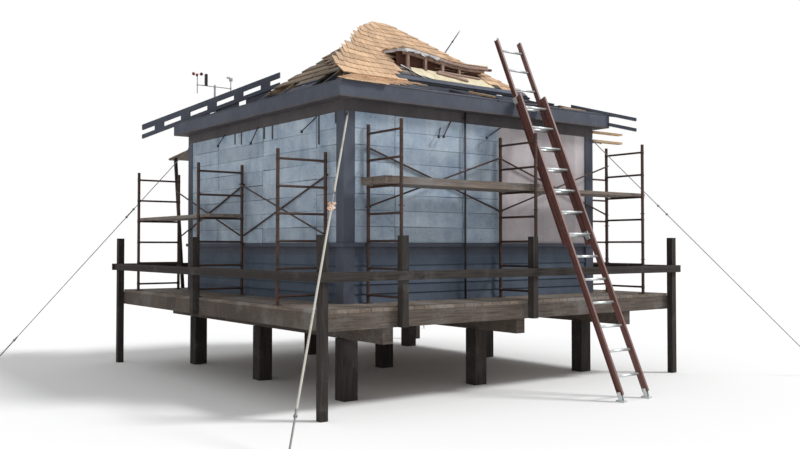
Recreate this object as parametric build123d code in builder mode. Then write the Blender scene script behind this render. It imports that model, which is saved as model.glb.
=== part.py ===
from build123d import *
import math
import os

# Fire lookout cab on a low timber deck, in the middle of a repair.
# Millimetres, +Z up, front wall towards -Y, left wall towards -X.
# The origin is on the ground under the centre of the cab.

# Cab in plan and in height
cab_side = 4268
wall_thickness = 110
deck_height = 1130
sill_height = 710
shutter_height = 1540
frieze_height = 130
cornice_height = 170
cornice_reach = 200
board_thickness = 20
roof_pitch = 37.5
kick_pitch = 18
kick_reach = 780

# Deck, its timbers and its railing
walkway = 762
planking_thickness = 38
joist_depth = 184
joist_width = 38
joist_spacing = 610
beam_depth = 184
beam_width = 140
foundation_width = 190
post_width = 89
post_rise = 790
rail_height = 400
rail_depth = 100
rail_thickness = 38
rail_past_post = 60
front_post_place = 140
doorway_post_place = 1890
side_post_place = 200

# Cab walls
corner_board = 125
corner_board_thickness = 32
sill_depth = 55
sill_thickness = 45
frame_post = 80
window_head = 120
window_columns = 5
glass_thickness = 4
shutter_thickness = 30
shutter_gap = 8
plywood_thickness = 15
plywood_gap = 3

# Roof timbers and covering
rafter_depth = 90
rafter_width = 38
rafter_spacing = 610
hip_width = 45
lath_width = 140
lath_thickness = 20
lath_pitch = 195
shingle_thickness = 24
prong_reach_right = 560

# Scaffold, ladder and guys
tube_radius = 21
rung_radius = 14
brace_radius = 11
frame_width = 640
frame_clear = 80
rung_spacing = 315
rung_top_gap = 110
side_frame_rungs = 6
front_frame_rungs = 7
scaffold_bay = 2130
scaffold_first = 1850
foot_side = 84
foot_thickness = 8
plank_width = 235
plank_thickness = 44
ladder_width = 490
ladder_rail_depth = 80
ladder_rail_thickness = 30
ladder_rung_spacing = 305
ladder_rung_radius = 16
ladder_base_length = 4100
ladder_fly_length = 3050
ladder_place = 650
ladder_foot_reach = 1640
guy_radius = 6
guy_reach = 2250
near_guy_reach = 1950
anchor_rod_radius = 14

half = cab_side / 2
inner = half - wall_thickness
deck_half = half + walkway
sill_top = deck_height + sill_height
shutter_top = sill_top + shutter_height
soffit_z = shutter_top + frieze_height
eave_half = half + cornice_reach
eave_z = soffit_z + cornice_height
slope = math.tan(math.radians(roof_pitch))
slant = math.cos(math.radians(roof_pitch))
kick_slope = math.tan(math.radians(kick_pitch))
kick_slant = math.cos(math.radians(kick_pitch))
plate_top = eave_z + kick_slope * cornice_reach - rafter_depth / kick_slant + board_thickness
break_half = eave_half - kick_reach
break_z = eave_z + kick_slope * kick_reach
apex_z = break_z + slope * break_half
joist_bottom = deck_height - planking_thickness - joist_depth
beam_bottom = joist_bottom - beam_depth

os.makedirs("parts", exist_ok=True)


def roof_z(out):
    if out > break_half:
        return eave_z + kick_slope * (eave_half - out)
    return apex_z - slope * out


def finish(part, name):
    part.label = name
    export_step(part, f"parts/{name}.step")


# Foundation posts stand on the ground in a three by three grid
foundation_pitch = half - foundation_width / 2

with BuildPart() as foundation_posts:
    with GridLocations(foundation_pitch, foundation_pitch, 3, 3):
        Box(foundation_width, foundation_width, beam_bottom, align=(Align.CENTER, Align.CENTER, Align.MIN))
finish(foundation_posts.part, "foundation_posts")

with BuildPart() as deck_beams:
    with Locations((0, 0, beam_bottom)):
        with GridLocations(foundation_pitch, 0, 3, 1):
            Box(beam_width, 2 * (deck_half - joist_width), beam_depth,
                align=(Align.CENTER, Align.CENTER, Align.MIN))
finish(deck_beams.part, "deck_beams")

joist_count = int((deck_half - joist_width) // joist_spacing) * 2 + 1

with BuildPart() as deck_joists:
    with Locations((0, 0, joist_bottom)):
        with GridLocations(0, joist_spacing, 1, joist_count):
            Box(2 * (deck_half - joist_width), joist_width, joist_depth,
                align=(Align.CENTER, Align.CENTER, Align.MIN))
finish(deck_joists.part, "deck_joists")

# The rim boards close the joist ends on all four sides
with BuildPart() as deck_rim:
    with BuildSketch(Plane.XY.offset(joist_bottom)):
        Rectangle(2 * deck_half, 2 * deck_half)
        Rectangle(2 * (deck_half - joist_width), 2 * (deck_half - joist_width), mode=Mode.SUBTRACT)
    extrude(amount=joist_depth)
finish(deck_rim.part, "deck_rim")

planking_z = deck_height - planking_thickness

with BuildPart() as deck_planking:
    with BuildSketch(Plane.XY.offset(planking_z)):
        Rectangle(2 * deck_half, 2 * deck_half)
        Rectangle(2 * half, 2 * half, mode=Mode.SUBTRACT)
    extrude(amount=planking_thickness)
finish(deck_planking.part, "deck_planking")

with BuildPart() as cab_floor:
    with BuildSketch(Plane.XY.offset(planking_z)):
        Rectangle(2 * half, 2 * half)
    extrude(amount=planking_thickness)
finish(cab_floor.part, "cab_floor")

# Corner posts run from the ground to above the rail, the others hang on the rim
post_place = deck_half + post_width / 2
post_top = deck_height + post_rise
front_posts = [(front_post_place, -post_place), (-doorway_post_place, -post_place)]
side_posts = [(-post_place, side_post_place), (post_place, side_post_place), (front_post_place, post_place)]

with BuildPart() as rail_posts:
    with GridLocations(2 * post_place, 2 * post_place, 2, 2):
        Box(post_width, post_width, post_top, align=(Align.CENTER, Align.CENTER, Align.MIN))
    with Locations(*[(x, y, joist_bottom) for x, y in front_posts + side_posts]):
        Box(post_width, post_width, post_top - joist_bottom, align=(Align.CENTER, Align.CENTER, Align.MIN))
finish(rail_posts.part, "rail_posts")

rail_place = post_place + post_width / 2 + rail_thickness / 2
rail_z = deck_height + rail_height - rail_depth
rail_length = 2 * (post_place + post_width / 2 + rail_past_post)
side_rail_length = 2 * (post_place + post_width / 2)

with BuildPart() as deck_rails:
    with Locations((0, -rail_place, rail_z), (0, rail_place, rail_z)):
        Box(rail_length, rail_thickness, rail_depth, align=(Align.CENTER, Align.CENTER, Align.MIN))
    with Locations((-rail_place, 0, rail_z), (rail_place, 0, rail_z)):
        Box(rail_thickness, side_rail_length, rail_depth, align=(Align.CENTER, Align.CENTER, Align.MIN))
finish(deck_rails.part, "deck_rails")

# Walls under the windows: front and back run the full width, the sides fit between
wall_base_height = sill_height - sill_thickness
side_wall_length = 2 * inner

for name, side in (("front", -1), ("back", 1)):
    with BuildPart() as wall_base:
        with BuildSketch(Plane.XY.offset(deck_height)):
            with Locations((0, side * (half - wall_thickness / 2))):
                Rectangle(2 * half, wall_thickness)
        extrude(amount=wall_base_height)
    finish(wall_base.part, f"wall_base_{name}")

for name, side in (("left", -1), ("right", 1)):
    with BuildPart() as wall_base:
        with BuildSketch(Plane.XY.offset(deck_height)):
            with Locations((side * (half - wall_thickness / 2), 0)):
                Rectangle(wall_thickness, side_wall_length)
        extrude(amount=wall_base_height)
    finish(wall_base.part, f"wall_base_{name}")

# The sill board runs round the cab and carries the window frames
sill_half = half + sill_depth

with BuildPart() as sill_boards:
    with BuildSketch(Plane.XY.offset(sill_top - sill_thickness)):
        Rectangle(2 * sill_half, 2 * sill_half)
        Rectangle(2 * inner, 2 * inner, mode=Mode.SUBTRACT)
    extrude(amount=sill_thickness)
finish(sill_boards.part, "sill_boards")

# Window frames: a panel each side with a row of openings cut through it
frame_height = plate_top - sill_top
opening_height = shutter_height - window_head


def window_row(length):
    return (length - (window_columns + 1) * frame_post) / window_columns


def window_frame(length, thickness_way, centre):
    width = window_row(length)
    with BuildPart() as frame:
        with Locations((centre[0], centre[1], sill_top)):
            if thickness_way == "y":
                Box(length, wall_thickness, frame_height, align=(Align.CENTER, Align.CENTER, Align.MIN))
            else:
                Box(wall_thickness, length, frame_height, align=(Align.CENTER, Align.CENTER, Align.MIN))
        with Locations((centre[0], centre[1], sill_top + frame_post / 2)):
            if thickness_way == "y":
                with GridLocations(width + frame_post, 0, window_columns, 1):
                    Box(width, wall_thickness, opening_height,
                        align=(Align.CENTER, Align.CENTER, Align.MIN), mode=Mode.SUBTRACT)
            else:
                with GridLocations(0, width + frame_post, 1, window_columns):
                    Box(wall_thickness, width, opening_height,
                        align=(Align.CENTER, Align.CENTER, Align.MIN), mode=Mode.SUBTRACT)
    return frame.part


wall_middle = half - wall_thickness / 2
finish(window_frame(2 * half, "y", (0, -wall_middle)), "window_frame_front")
finish(window_frame(2 * half, "y", (0, wall_middle)), "window_frame_back")
finish(window_frame(side_wall_length, "x", (-wall_middle, 0)), "window_frame_left")
finish(window_frame(side_wall_length, "x", (wall_middle, 0)), "window_frame_right")

long_pane = window_row(2 * half)
short_pane = window_row(side_wall_length)

with BuildPart() as window_glass:
    with Locations((0, 0, sill_top + frame_post / 2)):
        with GridLocations(long_pane + frame_post, 2 * wall_middle, window_columns, 2):
            Box(long_pane, glass_thickness, opening_height, align=(Align.CENTER, Align.CENTER, Align.MIN))
        with GridLocations(2 * wall_middle, short_pane + frame_post, 2, window_columns):
            Box(glass_thickness, short_pane, opening_height, align=(Align.CENTER, Align.CENTER, Align.MIN))
finish(window_glass.part, "window_glass")

# Corner boards wrap the four corners above and below the sill
corner_out = half + corner_board_thickness
corner_in = half - corner_board

with BuildPart() as corner_boards:
    for low, high in ((deck_height, sill_top - sill_thickness), (sill_top, shutter_top)):
        with BuildSketch(Plane.XY.offset(low)):
            Rectangle(2 * corner_out, 2 * corner_out)
            Rectangle(2 * half, 2 * half, mode=Mode.SUBTRACT)
            Rectangle(2 * corner_in, 2 * corner_out, mode=Mode.SUBTRACT)
            Rectangle(2 * corner_out, 2 * corner_in, mode=Mode.SUBTRACT)
        extrude(amount=high - low)
finish(corner_boards.part, "corner_boards")

# Shutters close the windows: panels side by side on the outer wall face
shutter_z = sill_top
shutter_out = half + shutter_thickness / 2


def shutter_row(edges, side, along_x):
    with BuildPart() as shutters:
        for start, end in zip(edges, edges[1:]):
            middle = (start + end) / 2
            width = end - start - shutter_gap
            if along_x:
                with Locations((middle, side * shutter_out, shutter_z)):
                    Box(width, shutter_thickness, shutter_height,
                        align=(Align.CENTER, Align.CENTER, Align.MIN))
            else:
                with Locations((side * shutter_out, middle, shutter_z)):
                    Box(shutter_thickness, width, shutter_height,
                        align=(Align.CENTER, Align.CENTER, Align.MIN))
    return shutters.part


quarter = corner_in / 2
front_seam_first = -1420
front_seam_second = -330
plywood_start = 290
left_seam_first = -1570
left_seam_second = -220
left_seam_third = 1130
front_edges = [-corner_in, front_seam_first, front_seam_second, plywood_start]
left_edges = [-corner_in, left_seam_first, left_seam_second, left_seam_third, corner_in]
even_edges = [-corner_in, -quarter, 0, quarter, corner_in]
finish(shutter_row(front_edges, -1, True), "shutters_front")
finish(shutter_row(left_edges, -1, False), "shutters_left")
finish(shutter_row(even_edges, 1, False), "shutters_right")
finish(shutter_row(even_edges[1:], 1, True), "shutters_back")

# Two plain plywood sheets close the right end of the front wall
plywood_middle = (front_edges[-1] + corner_in) / 2
plywood_width = (corner_in - front_edges[-1]) / 2 - plywood_gap

with BuildPart() as plywood_sheets:
    with Locations((plywood_middle, -half - plywood_thickness / 2, shutter_z)):
        with GridLocations(plywood_width + plywood_gap, 0, 2, 1):
            Box(plywood_width, plywood_thickness, shutter_height,
                align=(Align.CENTER, Align.CENTER, Align.MIN))
finish(plywood_sheets.part, "plywood_sheets")

# One back shutter is propped open on a pole, hinged under the frieze
raised_drop = 6
raised_length = 1200
raised_width = quarter - shutter_gap
raised_middle = -corner_in + quarter / 2
prop_side = 45
hinge_plane = Plane(
    origin=(raised_middle, half, shutter_top - shutter_thickness),
    x_dir=(1, 0, 0),
    z_dir=(0, math.sin(math.radians(raised_drop)), math.cos(math.radians(raised_drop))),
)

with BuildPart() as raised_shutter:
    with BuildSketch(hinge_plane):
        Rectangle(raised_width, raised_length, align=(Align.CENTER, Align.MIN))
    extrude(amount=shutter_thickness)
    with Locations((raised_middle, half, deck_height)):
        Box(2 * raised_width, 4 * wall_thickness, 2 * plate_top,
            align=(Align.CENTER, Align.MAX, Align.MIN), mode=Mode.SUBTRACT)
finish(raised_shutter.part, "raised_shutter")

prop_foot_reach = 670
prop_top_reach = 990


def raised_under(reach):
    return hinge_plane.origin.Z - reach * math.tan(math.radians(raised_drop))


with BuildPart() as shutter_prop:
    with BuildSketch(Plane.YZ.offset(raised_middle - raised_width / 2 + prop_side)):
        with BuildLine():
            Polyline(
                (half + prop_foot_reach, deck_height),
                (half + prop_foot_reach + prop_side, deck_height),
                (half + prop_top_reach + prop_side, raised_under(prop_top_reach + prop_side)),
                (half + prop_top_reach, raised_under(prop_top_reach)),
                close=True,
            )
        make_face()
    extrude(amount=prop_side / 2, both=True)
finish(shutter_prop.part, "shutter_prop")

# Frieze board and boxed cornice under the eaves
with BuildPart() as frieze_boards:
    with BuildSketch(Plane.XY.offset(shutter_top)):
        Rectangle(2 * corner_out, 2 * corner_out)
        Rectangle(2 * half, 2 * half, mode=Mode.SUBTRACT)
    extrude(amount=frieze_height)
finish(frieze_boards.part, "frieze_boards")

with BuildPart() as soffit_boards:
    with BuildSketch(Plane.XY.offset(soffit_z)):
        Rectangle(2 * eave_half, 2 * eave_half)
        Rectangle(2 * half, 2 * half, mode=Mode.SUBTRACT)
    extrude(amount=board_thickness)
finish(soffit_boards.part, "soffit_boards")

with BuildPart() as fascia_boards:
    with BuildSketch(Plane.XY.offset(soffit_z + board_thickness)):
        Rectangle(2 * eave_half, 2 * eave_half)
        Rectangle(2 * (eave_half - board_thickness), 2 * (eave_half - board_thickness), mode=Mode.SUBTRACT)
    extrude(amount=cornice_height - board_thickness)
finish(fascia_boards.part, "fascia_boards")

# A roof face is a flatter kick along the eave and a steeper part above the break.
# Plan outlines are given as x along the eave and the distance in from the eave.
# Turn 0 is the front face, 90 the right, 180 the back and 270 the left.
shingle_overhang = 40
cover_lift = lath_thickness + shingle_thickness
lath_step = lath_thickness * math.sin(math.radians(kick_pitch))
zone_reach = eave_half + 2 * shingle_overhang


def roof_line(out, lift):
    shift = lift * (1 / slant - 1 / kick_slant) / (slope - kick_slope)
    return [
        (-out, roof_z(out) + lift / kick_slant),
        (-break_half - shift, break_z - kick_slope * shift + lift / kick_slant),
        (0, apex_z + lift / slant),
    ]


def roof_plane(turn, out, pitch, lift):
    lean = Vector(0, -math.sin(math.radians(pitch)), math.cos(math.radians(pitch))).rotate(Axis.Z, turn)
    edge = Vector(0, -out, roof_z(out)).rotate(Axis.Z, turn)
    return Plane(origin=edge + lean * lift, x_dir=Vector(1, 0, 0).rotate(Axis.Z, turn), z_dir=lean)


def plan_zone(turn, outline):
    with BuildPart() as zone:
        with BuildSketch(Plane.XY.offset(soffit_z)):
            with BuildLine():
                Polyline(*[(x, inward - eave_half) for x, inward in outline], close=True)
            make_face()
        extrude(amount=apex_z)
    return zone.part.rotate(Axis.Z, turn)


def face_zone(turn, set_back):
    low = eave_half - zone_reach - set_back
    return plan_zone(turn, [(0, eave_half - set_back), (-zone_reach, low), (zone_reach, low)])


# A king block at the apex takes the heads of the hips and the middle rafters
king_side = 120
king_depth = 190
hip_depth = 135
hip_edge = hip_width / 2 / math.sqrt(2)
king_z = apex_z - slope * king_side / math.sqrt(2) - king_depth
hip_set_back = hip_width / math.sqrt(2)
tail_out = eave_half - board_thickness

with BuildPart() as king_block:
    with BuildSketch(Plane.XY.offset(king_z)):
        Rectangle(king_side, king_side, rotation=45)
    extrude(amount=king_depth)
finish(king_block.part, "king_block")

with BuildPart() as wall_ring:
    with BuildSketch(Plane.XY.offset(deck_height)):
        Rectangle(2 * half, 2 * half)
        Rectangle(2 * inner, 2 * inner, mode=Mode.SUBTRACT)
    extrude(amount=plate_top - deck_height)

hip_head = king_side / 2
hip_break = (break_half - hip_edge) * math.sqrt(2)
hip_foot = (tail_out - hip_edge) * math.sqrt(2)
hip_top = [
    (hip_head, roof_z(hip_head / math.sqrt(2) + hip_edge)),
    (hip_break, break_z),
    (hip_foot, roof_z(tail_out)),
]
hip_under = [(along, top - hip_depth) for along, top in reversed(hip_top)]

with BuildPart() as hip_rafters:
    for turn in (0, 90, 180, 270):
        along = Vector(1, -1, 0).rotate(Axis.Z, turn)
        across = Vector(-1, -1, 0).rotate(Axis.Z, turn)
        with BuildSketch(Plane(origin=(0, 0, 0), x_dir=along, z_dir=across)):
            with BuildLine():
                Polyline(*hip_top, *hip_under, close=True)
            make_face()
        extrude(amount=hip_width / 2, both=True)
    add(wall_ring.part, mode=Mode.SUBTRACT)
finish(hip_rafters.part, "hip_rafters")

# Jack rafters climb from the fascia to the hips, notched over the wall plate
with BuildPart() as face_rafters:
    with BuildSketch(Plane.YZ):
        with BuildLine():
            Polyline(*roof_line(tail_out, 0), *reversed(roof_line(tail_out, -rafter_depth)), close=True)
        make_face()
    extrude(amount=rafter_width / 2, both=True)

rafter_sides = int(tail_out // rafter_spacing)

with BuildPart() as one_face:
    with Locations(*[(n * rafter_spacing, 0, 0) for n in range(-rafter_sides, rafter_sides + 1)]):
        add(face_rafters.part)
    add(face_zone(0, hip_set_back), mode=Mode.INTERSECT)
    add(wall_ring.part, mode=Mode.SUBTRACT)
    add(king_block.part, mode=Mode.SUBTRACT)

with BuildPart() as jack_rafters:
    with PolarLocations(0, 4):
        add(one_face.part)
finish(jack_rafters.part, "jack_rafters")

# A pair of straight members bridges the kick of the left back hip. The lower one is
# seated on the hip at its head and over the fascia corner, with blocks between.
pair_width = 45
pair_depth = 60
pair_cap_depth = 80
pair_head = 1140
pair_past_eave = 362
pair_fall = 0.49
pair_rise = 135
pair_block_first = 2500
pair_block_pitch = 300
pair_block_length = 100
pair_block_count = 5
pair_seat = roof_z(pair_head + hip_edge)
pair_foot = eave_half + pair_past_eave


def pair_member(lift, depth):
    head_z = pair_seat + lift
    foot_z = head_z - pair_fall * (pair_foot - pair_head)
    return [
        (pair_head * math.sqrt(2), head_z),
        (pair_foot * math.sqrt(2), foot_z),
        (pair_foot * math.sqrt(2), foot_z + depth),
        (pair_head * math.sqrt(2), head_z + depth),
    ]


left_hip_plane = Plane(origin=(0, 0, 0), x_dir=(-1, 1, 0), z_dir=(1, 1, 0))

with BuildPart() as left_hip_pair:
    for lift, depth in ((0, pair_depth), (pair_rise, pair_cap_depth)):
        with BuildSketch(left_hip_plane):
            with BuildLine():
                Polyline(*pair_member(lift, depth), close=True)
            make_face()
        extrude(amount=pair_width / 2, both=True)
    for n in range(pair_block_count):
        out = pair_block_first - n * pair_block_pitch
        block_z = pair_seat + (pair_depth + pair_rise) / 2 - pair_fall * (out - pair_head)
        with BuildSketch(left_hip_plane):
            with Locations((out * math.sqrt(2), block_z)):
                Rectangle(pair_block_length * math.sqrt(2), pair_rise, align=(Align.CENTER, Align.CENTER))
        extrude(amount=pair_width / 2, both=True)
    add(hip_rafters.part, mode=Mode.SUBTRACT)
    add(fascia_boards.part, mode=Mode.SUBTRACT)

# Boards stop at a slot along the far end of that hip
with BuildPart() as pair_slot:
    with BuildSketch(Plane.XY.offset(soffit_z)):
        with Locations(Location((-eave_half, eave_half, 0), 45)):
            Rectangle(pair_width, 2 * (eave_half - pair_head) * math.sqrt(2))
    extrude(amount=apex_z)

# Spaced boards cross the rafters. The brow opening is cut in the front face, and most
# of the front kick is bare rafters. So is the far half of the left face, low down,
# with the part of the back face behind it.
break_margin = 35
bare_margin = 20
brow_low = 1150
brow_high_left = 1340
brow_high_right = 1195
brow_left = -650
brow_hip_margin = 310
brow_right = eave_half - brow_low - brow_hip_margin + bare_margin
bare_left = -850
far_low = 250
far_high = 1150
far_side = 300
kick_courses = int((kick_reach / kick_slant - lath_width) // lath_pitch) + 1
upper_courses = int((break_half / slant - break_margin - lath_width) // lath_pitch) + 1
kick_bare_low = lath_width * kick_slant + bare_margin

# Above the break the front boards and shingles run on untrimmed past the near hip,
# and the left face keeps clear under them
wild_top = 200
wild_reach = 390
wild_shoulder = 2010
wild_elbow = 1050
near_trim = 75
near_trim_low = kick_reach - 2 * near_trim
wild_outline = [
    (0, eave_half),
    (-wild_top, eave_half),
    (wild_shoulder - eave_half - wild_reach, wild_shoulder),
    (wild_elbow - eave_half - wild_reach - near_trim, wild_elbow),
    (kick_reach - eave_half - wild_reach / 2, kick_reach),
    (kick_reach - eave_half, kick_reach),
]
near_strip = plan_zone(270, [
    (break_half - near_trim, near_trim_low),
    (eave_half, near_trim_low),
    (near_trim, eave_half),
    (-near_trim, eave_half),
])
front_zone = face_zone(0, 0) + plan_zone(0, wild_outline)
left_zone = face_zone(270, 0) - near_strip


def boards(turn, zone, cuts, prong_reach):
    with BuildPart() as lath:
        for out, pitch, first, count in (
            (eave_half, kick_pitch, 0, kick_courses),
            (break_half, roof_pitch, break_margin, upper_courses),
        ):
            with BuildSketch(roof_plane(turn, out, pitch, 0)):
                for course in range(count):
                    with Locations((0, first + course * lath_pitch)):
                        Rectangle(2 * zone_reach, lath_width, align=(Align.CENTER, Align.MIN))
            extrude(amount=lath_thickness)
        add(zone, mode=Mode.INTERSECT)
        for cut in cuts:
            add(plan_zone(turn, cut), mode=Mode.SUBTRACT)
        if prong_reach:
            with BuildSketch(roof_plane(turn, eave_half, kick_pitch, 0)):
                Rectangle(eave_half + prong_reach, lath_width, align=(Align.MIN, Align.MIN))
            extrude(amount=lath_thickness)
    return lath.part


brow = [
    (brow_left, brow_low),
    (brow_left, brow_high_left),
    (brow_right, brow_high_right),
    (brow_right, brow_low),
]
front_bare = [
    (bare_left, kick_bare_low),
    (bare_left, kick_reach),
    (eave_half, kick_reach),
    (eave_half, kick_bare_low),
]
left_bare = [(-eave_half, far_low), (-eave_half, far_high), (-far_side, far_high), (-far_side, far_low)]
back_bare = [(-x, inward) for x, inward in left_bare]
corner_low = -2 * shingle_overhang
corner_high = lath_pitch
corner_reach = lath_pitch + bare_margin
right_corner = [
    (-zone_reach, corner_low),
    (-zone_reach, corner_high),
    (corner_reach - eave_half, corner_high),
    (corner_reach - eave_half, corner_low),
]
front_boards = boards(0, front_zone, [brow, front_bare], prong_reach_right)
right_boards = boards(90, face_zone(90, 0), [right_corner], 0)
finish(front_boards, "roof_boards_front")
finish(right_boards, "roof_boards_right")
finish(boards(180, face_zone(180, 0), [back_bare], 0) - pair_slot.part, "roof_boards_back")
finish(boards(270, left_zone, [left_bare], 0) - pair_slot.part, "roof_boards_left")

# Two short tails stand out past the right front corner, one over the boards on the
# hip and one against the fascia
tail_head = 1950
tail_past_eave = 270
tail_width = 90
tail_thickness = 38
tail_sink = 6
lower_tail_drop = 150
tail_end = eave_half + tail_past_eave


def tail_top(out):
    return roof_z(out) + lath_thickness / kick_slant + tail_thickness - tail_sink


with BuildPart() as right_hip_tails:
    for head, drop in ((tail_head, 0), (eave_half, lower_tail_drop)):
        with BuildSketch(Plane(origin=(0, 0, 0), x_dir=(1, -1, 0), z_dir=(-1, -1, 0))):
            with BuildLine():
                Polyline(
                    (head * math.sqrt(2), tail_top(head) - drop),
                    (tail_end * math.sqrt(2), tail_top(tail_end) - drop),
                    (tail_end * math.sqrt(2), tail_top(tail_end) - drop - tail_thickness),
                    (head * math.sqrt(2), tail_top(head) - drop - tail_thickness),
                    close=True,
                )
            make_face()
        extrude(amount=tail_width / 2, both=True)
    with BuildSketch(Plane.XY.offset(soffit_z)):
        Rectangle(2 * eave_half, 2 * eave_half)
    extrude(amount=cornice_height, mode=Mode.SUBTRACT)
    add(front_boards, mode=Mode.SUBTRACT)
    add(right_boards, mode=Mode.SUBTRACT)

with BuildPart() as hip_tails:
    add(left_hip_pair.part)
    add(right_hip_tails.part)
finish(hip_tails.part, "hip_tails")

# Shingles: the front is laid round the brow and down to the near eave, the left face
# above a slanting edge, and the right and back faces only near the apex
upper_reach = 700
near_edge_low = 190
near_edge_place = 2140
far_edge_place = -600
far_edge_low = 1730


def shingle_field(turn, zone, outline):
    edge = eave_half + shingle_overhang
    with BuildPart() as field:
        with BuildSketch(Plane.YZ):
            with BuildLine():
                Polyline(*roof_line(edge, lath_thickness), *reversed(roof_line(edge, cover_lift)),
                         close=True)
            make_face()
        extrude(amount=edge, both=True)
        add(zone.rotate(Axis.Z, -turn), mode=Mode.INTERSECT)
        add(plan_zone(0, outline), mode=Mode.INTERSECT)
    return field.part.rotate(Axis.Z, turn)


front_outline = [
    (-zone_reach, -shingle_overhang),
    (-1700, -shingle_overhang),
    (-1424, 213),
    (-650, 600),
    (-700, kick_reach),
    (-890, 890),
    (-620, 1010),
    (brow_left, brow_low),
    (brow_left, brow_high_left),
    (brow_right, brow_high_right),
    (brow_right, brow_low),
    (930, 1010),
    (1240, 850),
    (zone_reach, 800),
    (zone_reach, eave_half),
    (-zone_reach, eave_half),
]
upper_low = eave_half - upper_reach
upper_outline = [
    (-zone_reach, upper_low),
    (-zone_reach, eave_half),
    (zone_reach, eave_half),
    (zone_reach, upper_low),
]
left_outline = [
    (zone_reach, near_edge_low),
    (near_edge_place, near_edge_low),
    (far_edge_place, far_edge_low),
    (-zone_reach, far_edge_low),
    (-zone_reach, eave_half),
    (zone_reach, eave_half),
]
front_shingles = shingle_field(0, front_zone, front_outline)
finish(front_shingles, "shingles_front")

with BuildPart() as shingles_upper:
    add(shingle_field(90, face_zone(90, 0), upper_outline))
    add(shingle_field(180, face_zone(180, 0), upper_outline))
    add(shingle_field(270, left_zone, left_outline))
finish(shingles_upper.part, "shingles_upper")

# The brow: a low vertical front with studs and a header, under a level hood that
# dies into the shingles above the opening
hood_thickness = 30
hood_length = 450
hood_front_left = -550
hood_back_left = -680
header_depth = 45
header_width = 38
stud_first = -485
stud_pitch = 308
stud_count = 4
hood_inward = brow_low - header_width
hood_y = hood_inward - eave_half
hood_base = roof_z(-hood_y) + cover_lift / slant
hood_right = brow_right + header_width / 2
hood_rises = [(hood_back_left, 250), (-350, 230), (-50, 193), (310, 149), (580, 136), (hood_right, 150)]


def hood_rise(place):
    for (start, low), (end, high) in zip(hood_rises, hood_rises[1:]):
        if start <= place <= end:
            return low + (high - low) * (place - start) / (end - start)
    return hood_rises[-1][1]


def hood_band(top_drop, low_drop):
    top = [(x, hood_base + rise - top_drop) for x, rise in hood_rises]
    low = [(x, hood_base + rise - low_drop) for x, rise in reversed(hood_rises)]
    return top + low


hood_outline = [
    (hood_front_left, hood_inward - header_width),
    (hood_front_left, hood_inward),
    (hood_back_left, hood_inward + hood_length),
    (zone_reach, hood_inward + hood_length),
    (zone_reach, hood_inward - header_width),
]

with BuildPart() as brow_hood:
    with BuildSketch(Plane(origin=(0, hood_y, 0), x_dir=(1, 0, 0), z_dir=(0, -1, 0))):
        with BuildLine():
            Polyline(*hood_band(0, hood_thickness), close=True)
        make_face()
    extrude(amount=-hood_length)
    with BuildSketch(Plane(origin=(0, hood_y, 0), x_dir=(1, 0, 0), z_dir=(0, -1, 0))):
        with BuildLine():
            Polyline(*hood_band(hood_thickness, hood_thickness + header_depth), close=True)
        make_face()
        for n in range(stud_count):
            stud_place = stud_first + n * stud_pitch
            stud_height = hood_rise(stud_place) - hood_thickness
            with Locations((stud_place, hood_base)):
                Rectangle(header_width, 2 * stud_height, align=(Align.CENTER, Align.CENTER))
    extrude(amount=-header_width)
    add(plan_zone(0, hood_outline), mode=Mode.INTERSECT)
    with BuildSketch(Plane.YZ):
        with BuildLine():
            Polyline(*roof_line(eave_half, lath_thickness), (0, soffit_z), (-eave_half, soffit_z),
                     close=True)
        make_face()
    extrude(amount=eave_half, both=True, mode=Mode.SUBTRACT)
    add(front_shingles, mode=Mode.SUBTRACT)
finish(brow_hood.part, "brow_hood")

# Lightning rod on the right face, leaning out over the hip
rod_radius = 9
rod_length = 565
rod_flange = 32
rod_out = 660
rod_along = -550
rod_lean = (0.62, 0, 0.79)
rod_plane = roof_plane(90, rod_out, roof_pitch, cover_lift)
rod_foot = rod_plane.from_local_coords((rod_along, 0, 0))

with BuildPart() as lightning_rod:
    with BuildSketch(rod_plane):
        with Locations((rod_along, 0)):
            Circle(rod_flange)
    extrude(amount=rod_radius)
    with BuildSketch(Plane(origin=rod_foot, x_dir=(0, 1, 0), z_dir=rod_lean)):
        Circle(rod_radius)
    extrude(amount=rod_length)
    with Locations(rod_plane):
        with Locations((rod_along, 0, -rod_flange)):
            Box(2 * rod_flange, 2 * rod_flange, 2 * rod_flange, mode=Mode.SUBTRACT)
finish(lightning_rod.part, "lightning_rod")

# Weather mast on the back fascia: a pole, a cross arm and its instruments
mast_radius = 16
mast_inset = 694
mast_rise = 690
mast_place = mast_inset - eave_half
mast_top = eave_z + mast_rise
arm_radius = 8
arm_left = 300
arm_right = 280
shield_radius = 28
shield_height = 190
stub_height = 150
cup_radius = 38
mast_y = eave_half + lath_step + mast_radius
bracket_height = 30
bracket_drop = 60

with BuildPart() as weather_mast:
    with Locations((mast_place, mast_y, soffit_z)):
        Cylinder(mast_radius, mast_top - soffit_z, align=(Align.CENTER, Align.CENTER, Align.MIN))
    with Locations((mast_place, eave_half, soffit_z + bracket_drop)):
        Box(2 * mast_radius, mast_y - eave_half, bracket_height, align=(Align.CENTER, Align.MIN, Align.MIN))
    with Locations((mast_place + (arm_right - arm_left) / 2, mast_y, mast_top - 2 * arm_radius)):
        Cylinder(arm_radius, arm_left + arm_right, rotation=(0, 90, 0))
    with Locations((mast_place - arm_left, mast_y, mast_top), (mast_place + arm_right, mast_y, mast_top)):
        Cylinder(arm_radius, 2 * stub_height)
    with Locations((mast_place - arm_left, mast_y, mast_top + stub_height)):
        Sphere(cup_radius)
    with Locations((mast_place + arm_right, mast_y, mast_top + stub_height)):
        Cylinder(cup_radius, cup_radius)
    with Locations((mast_place - arm_left / 2, mast_y, mast_top - 2 * arm_radius)):
        Cylinder(shield_radius, shield_height, align=(Align.CENTER, Align.CENTER, Align.MIN))
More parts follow.
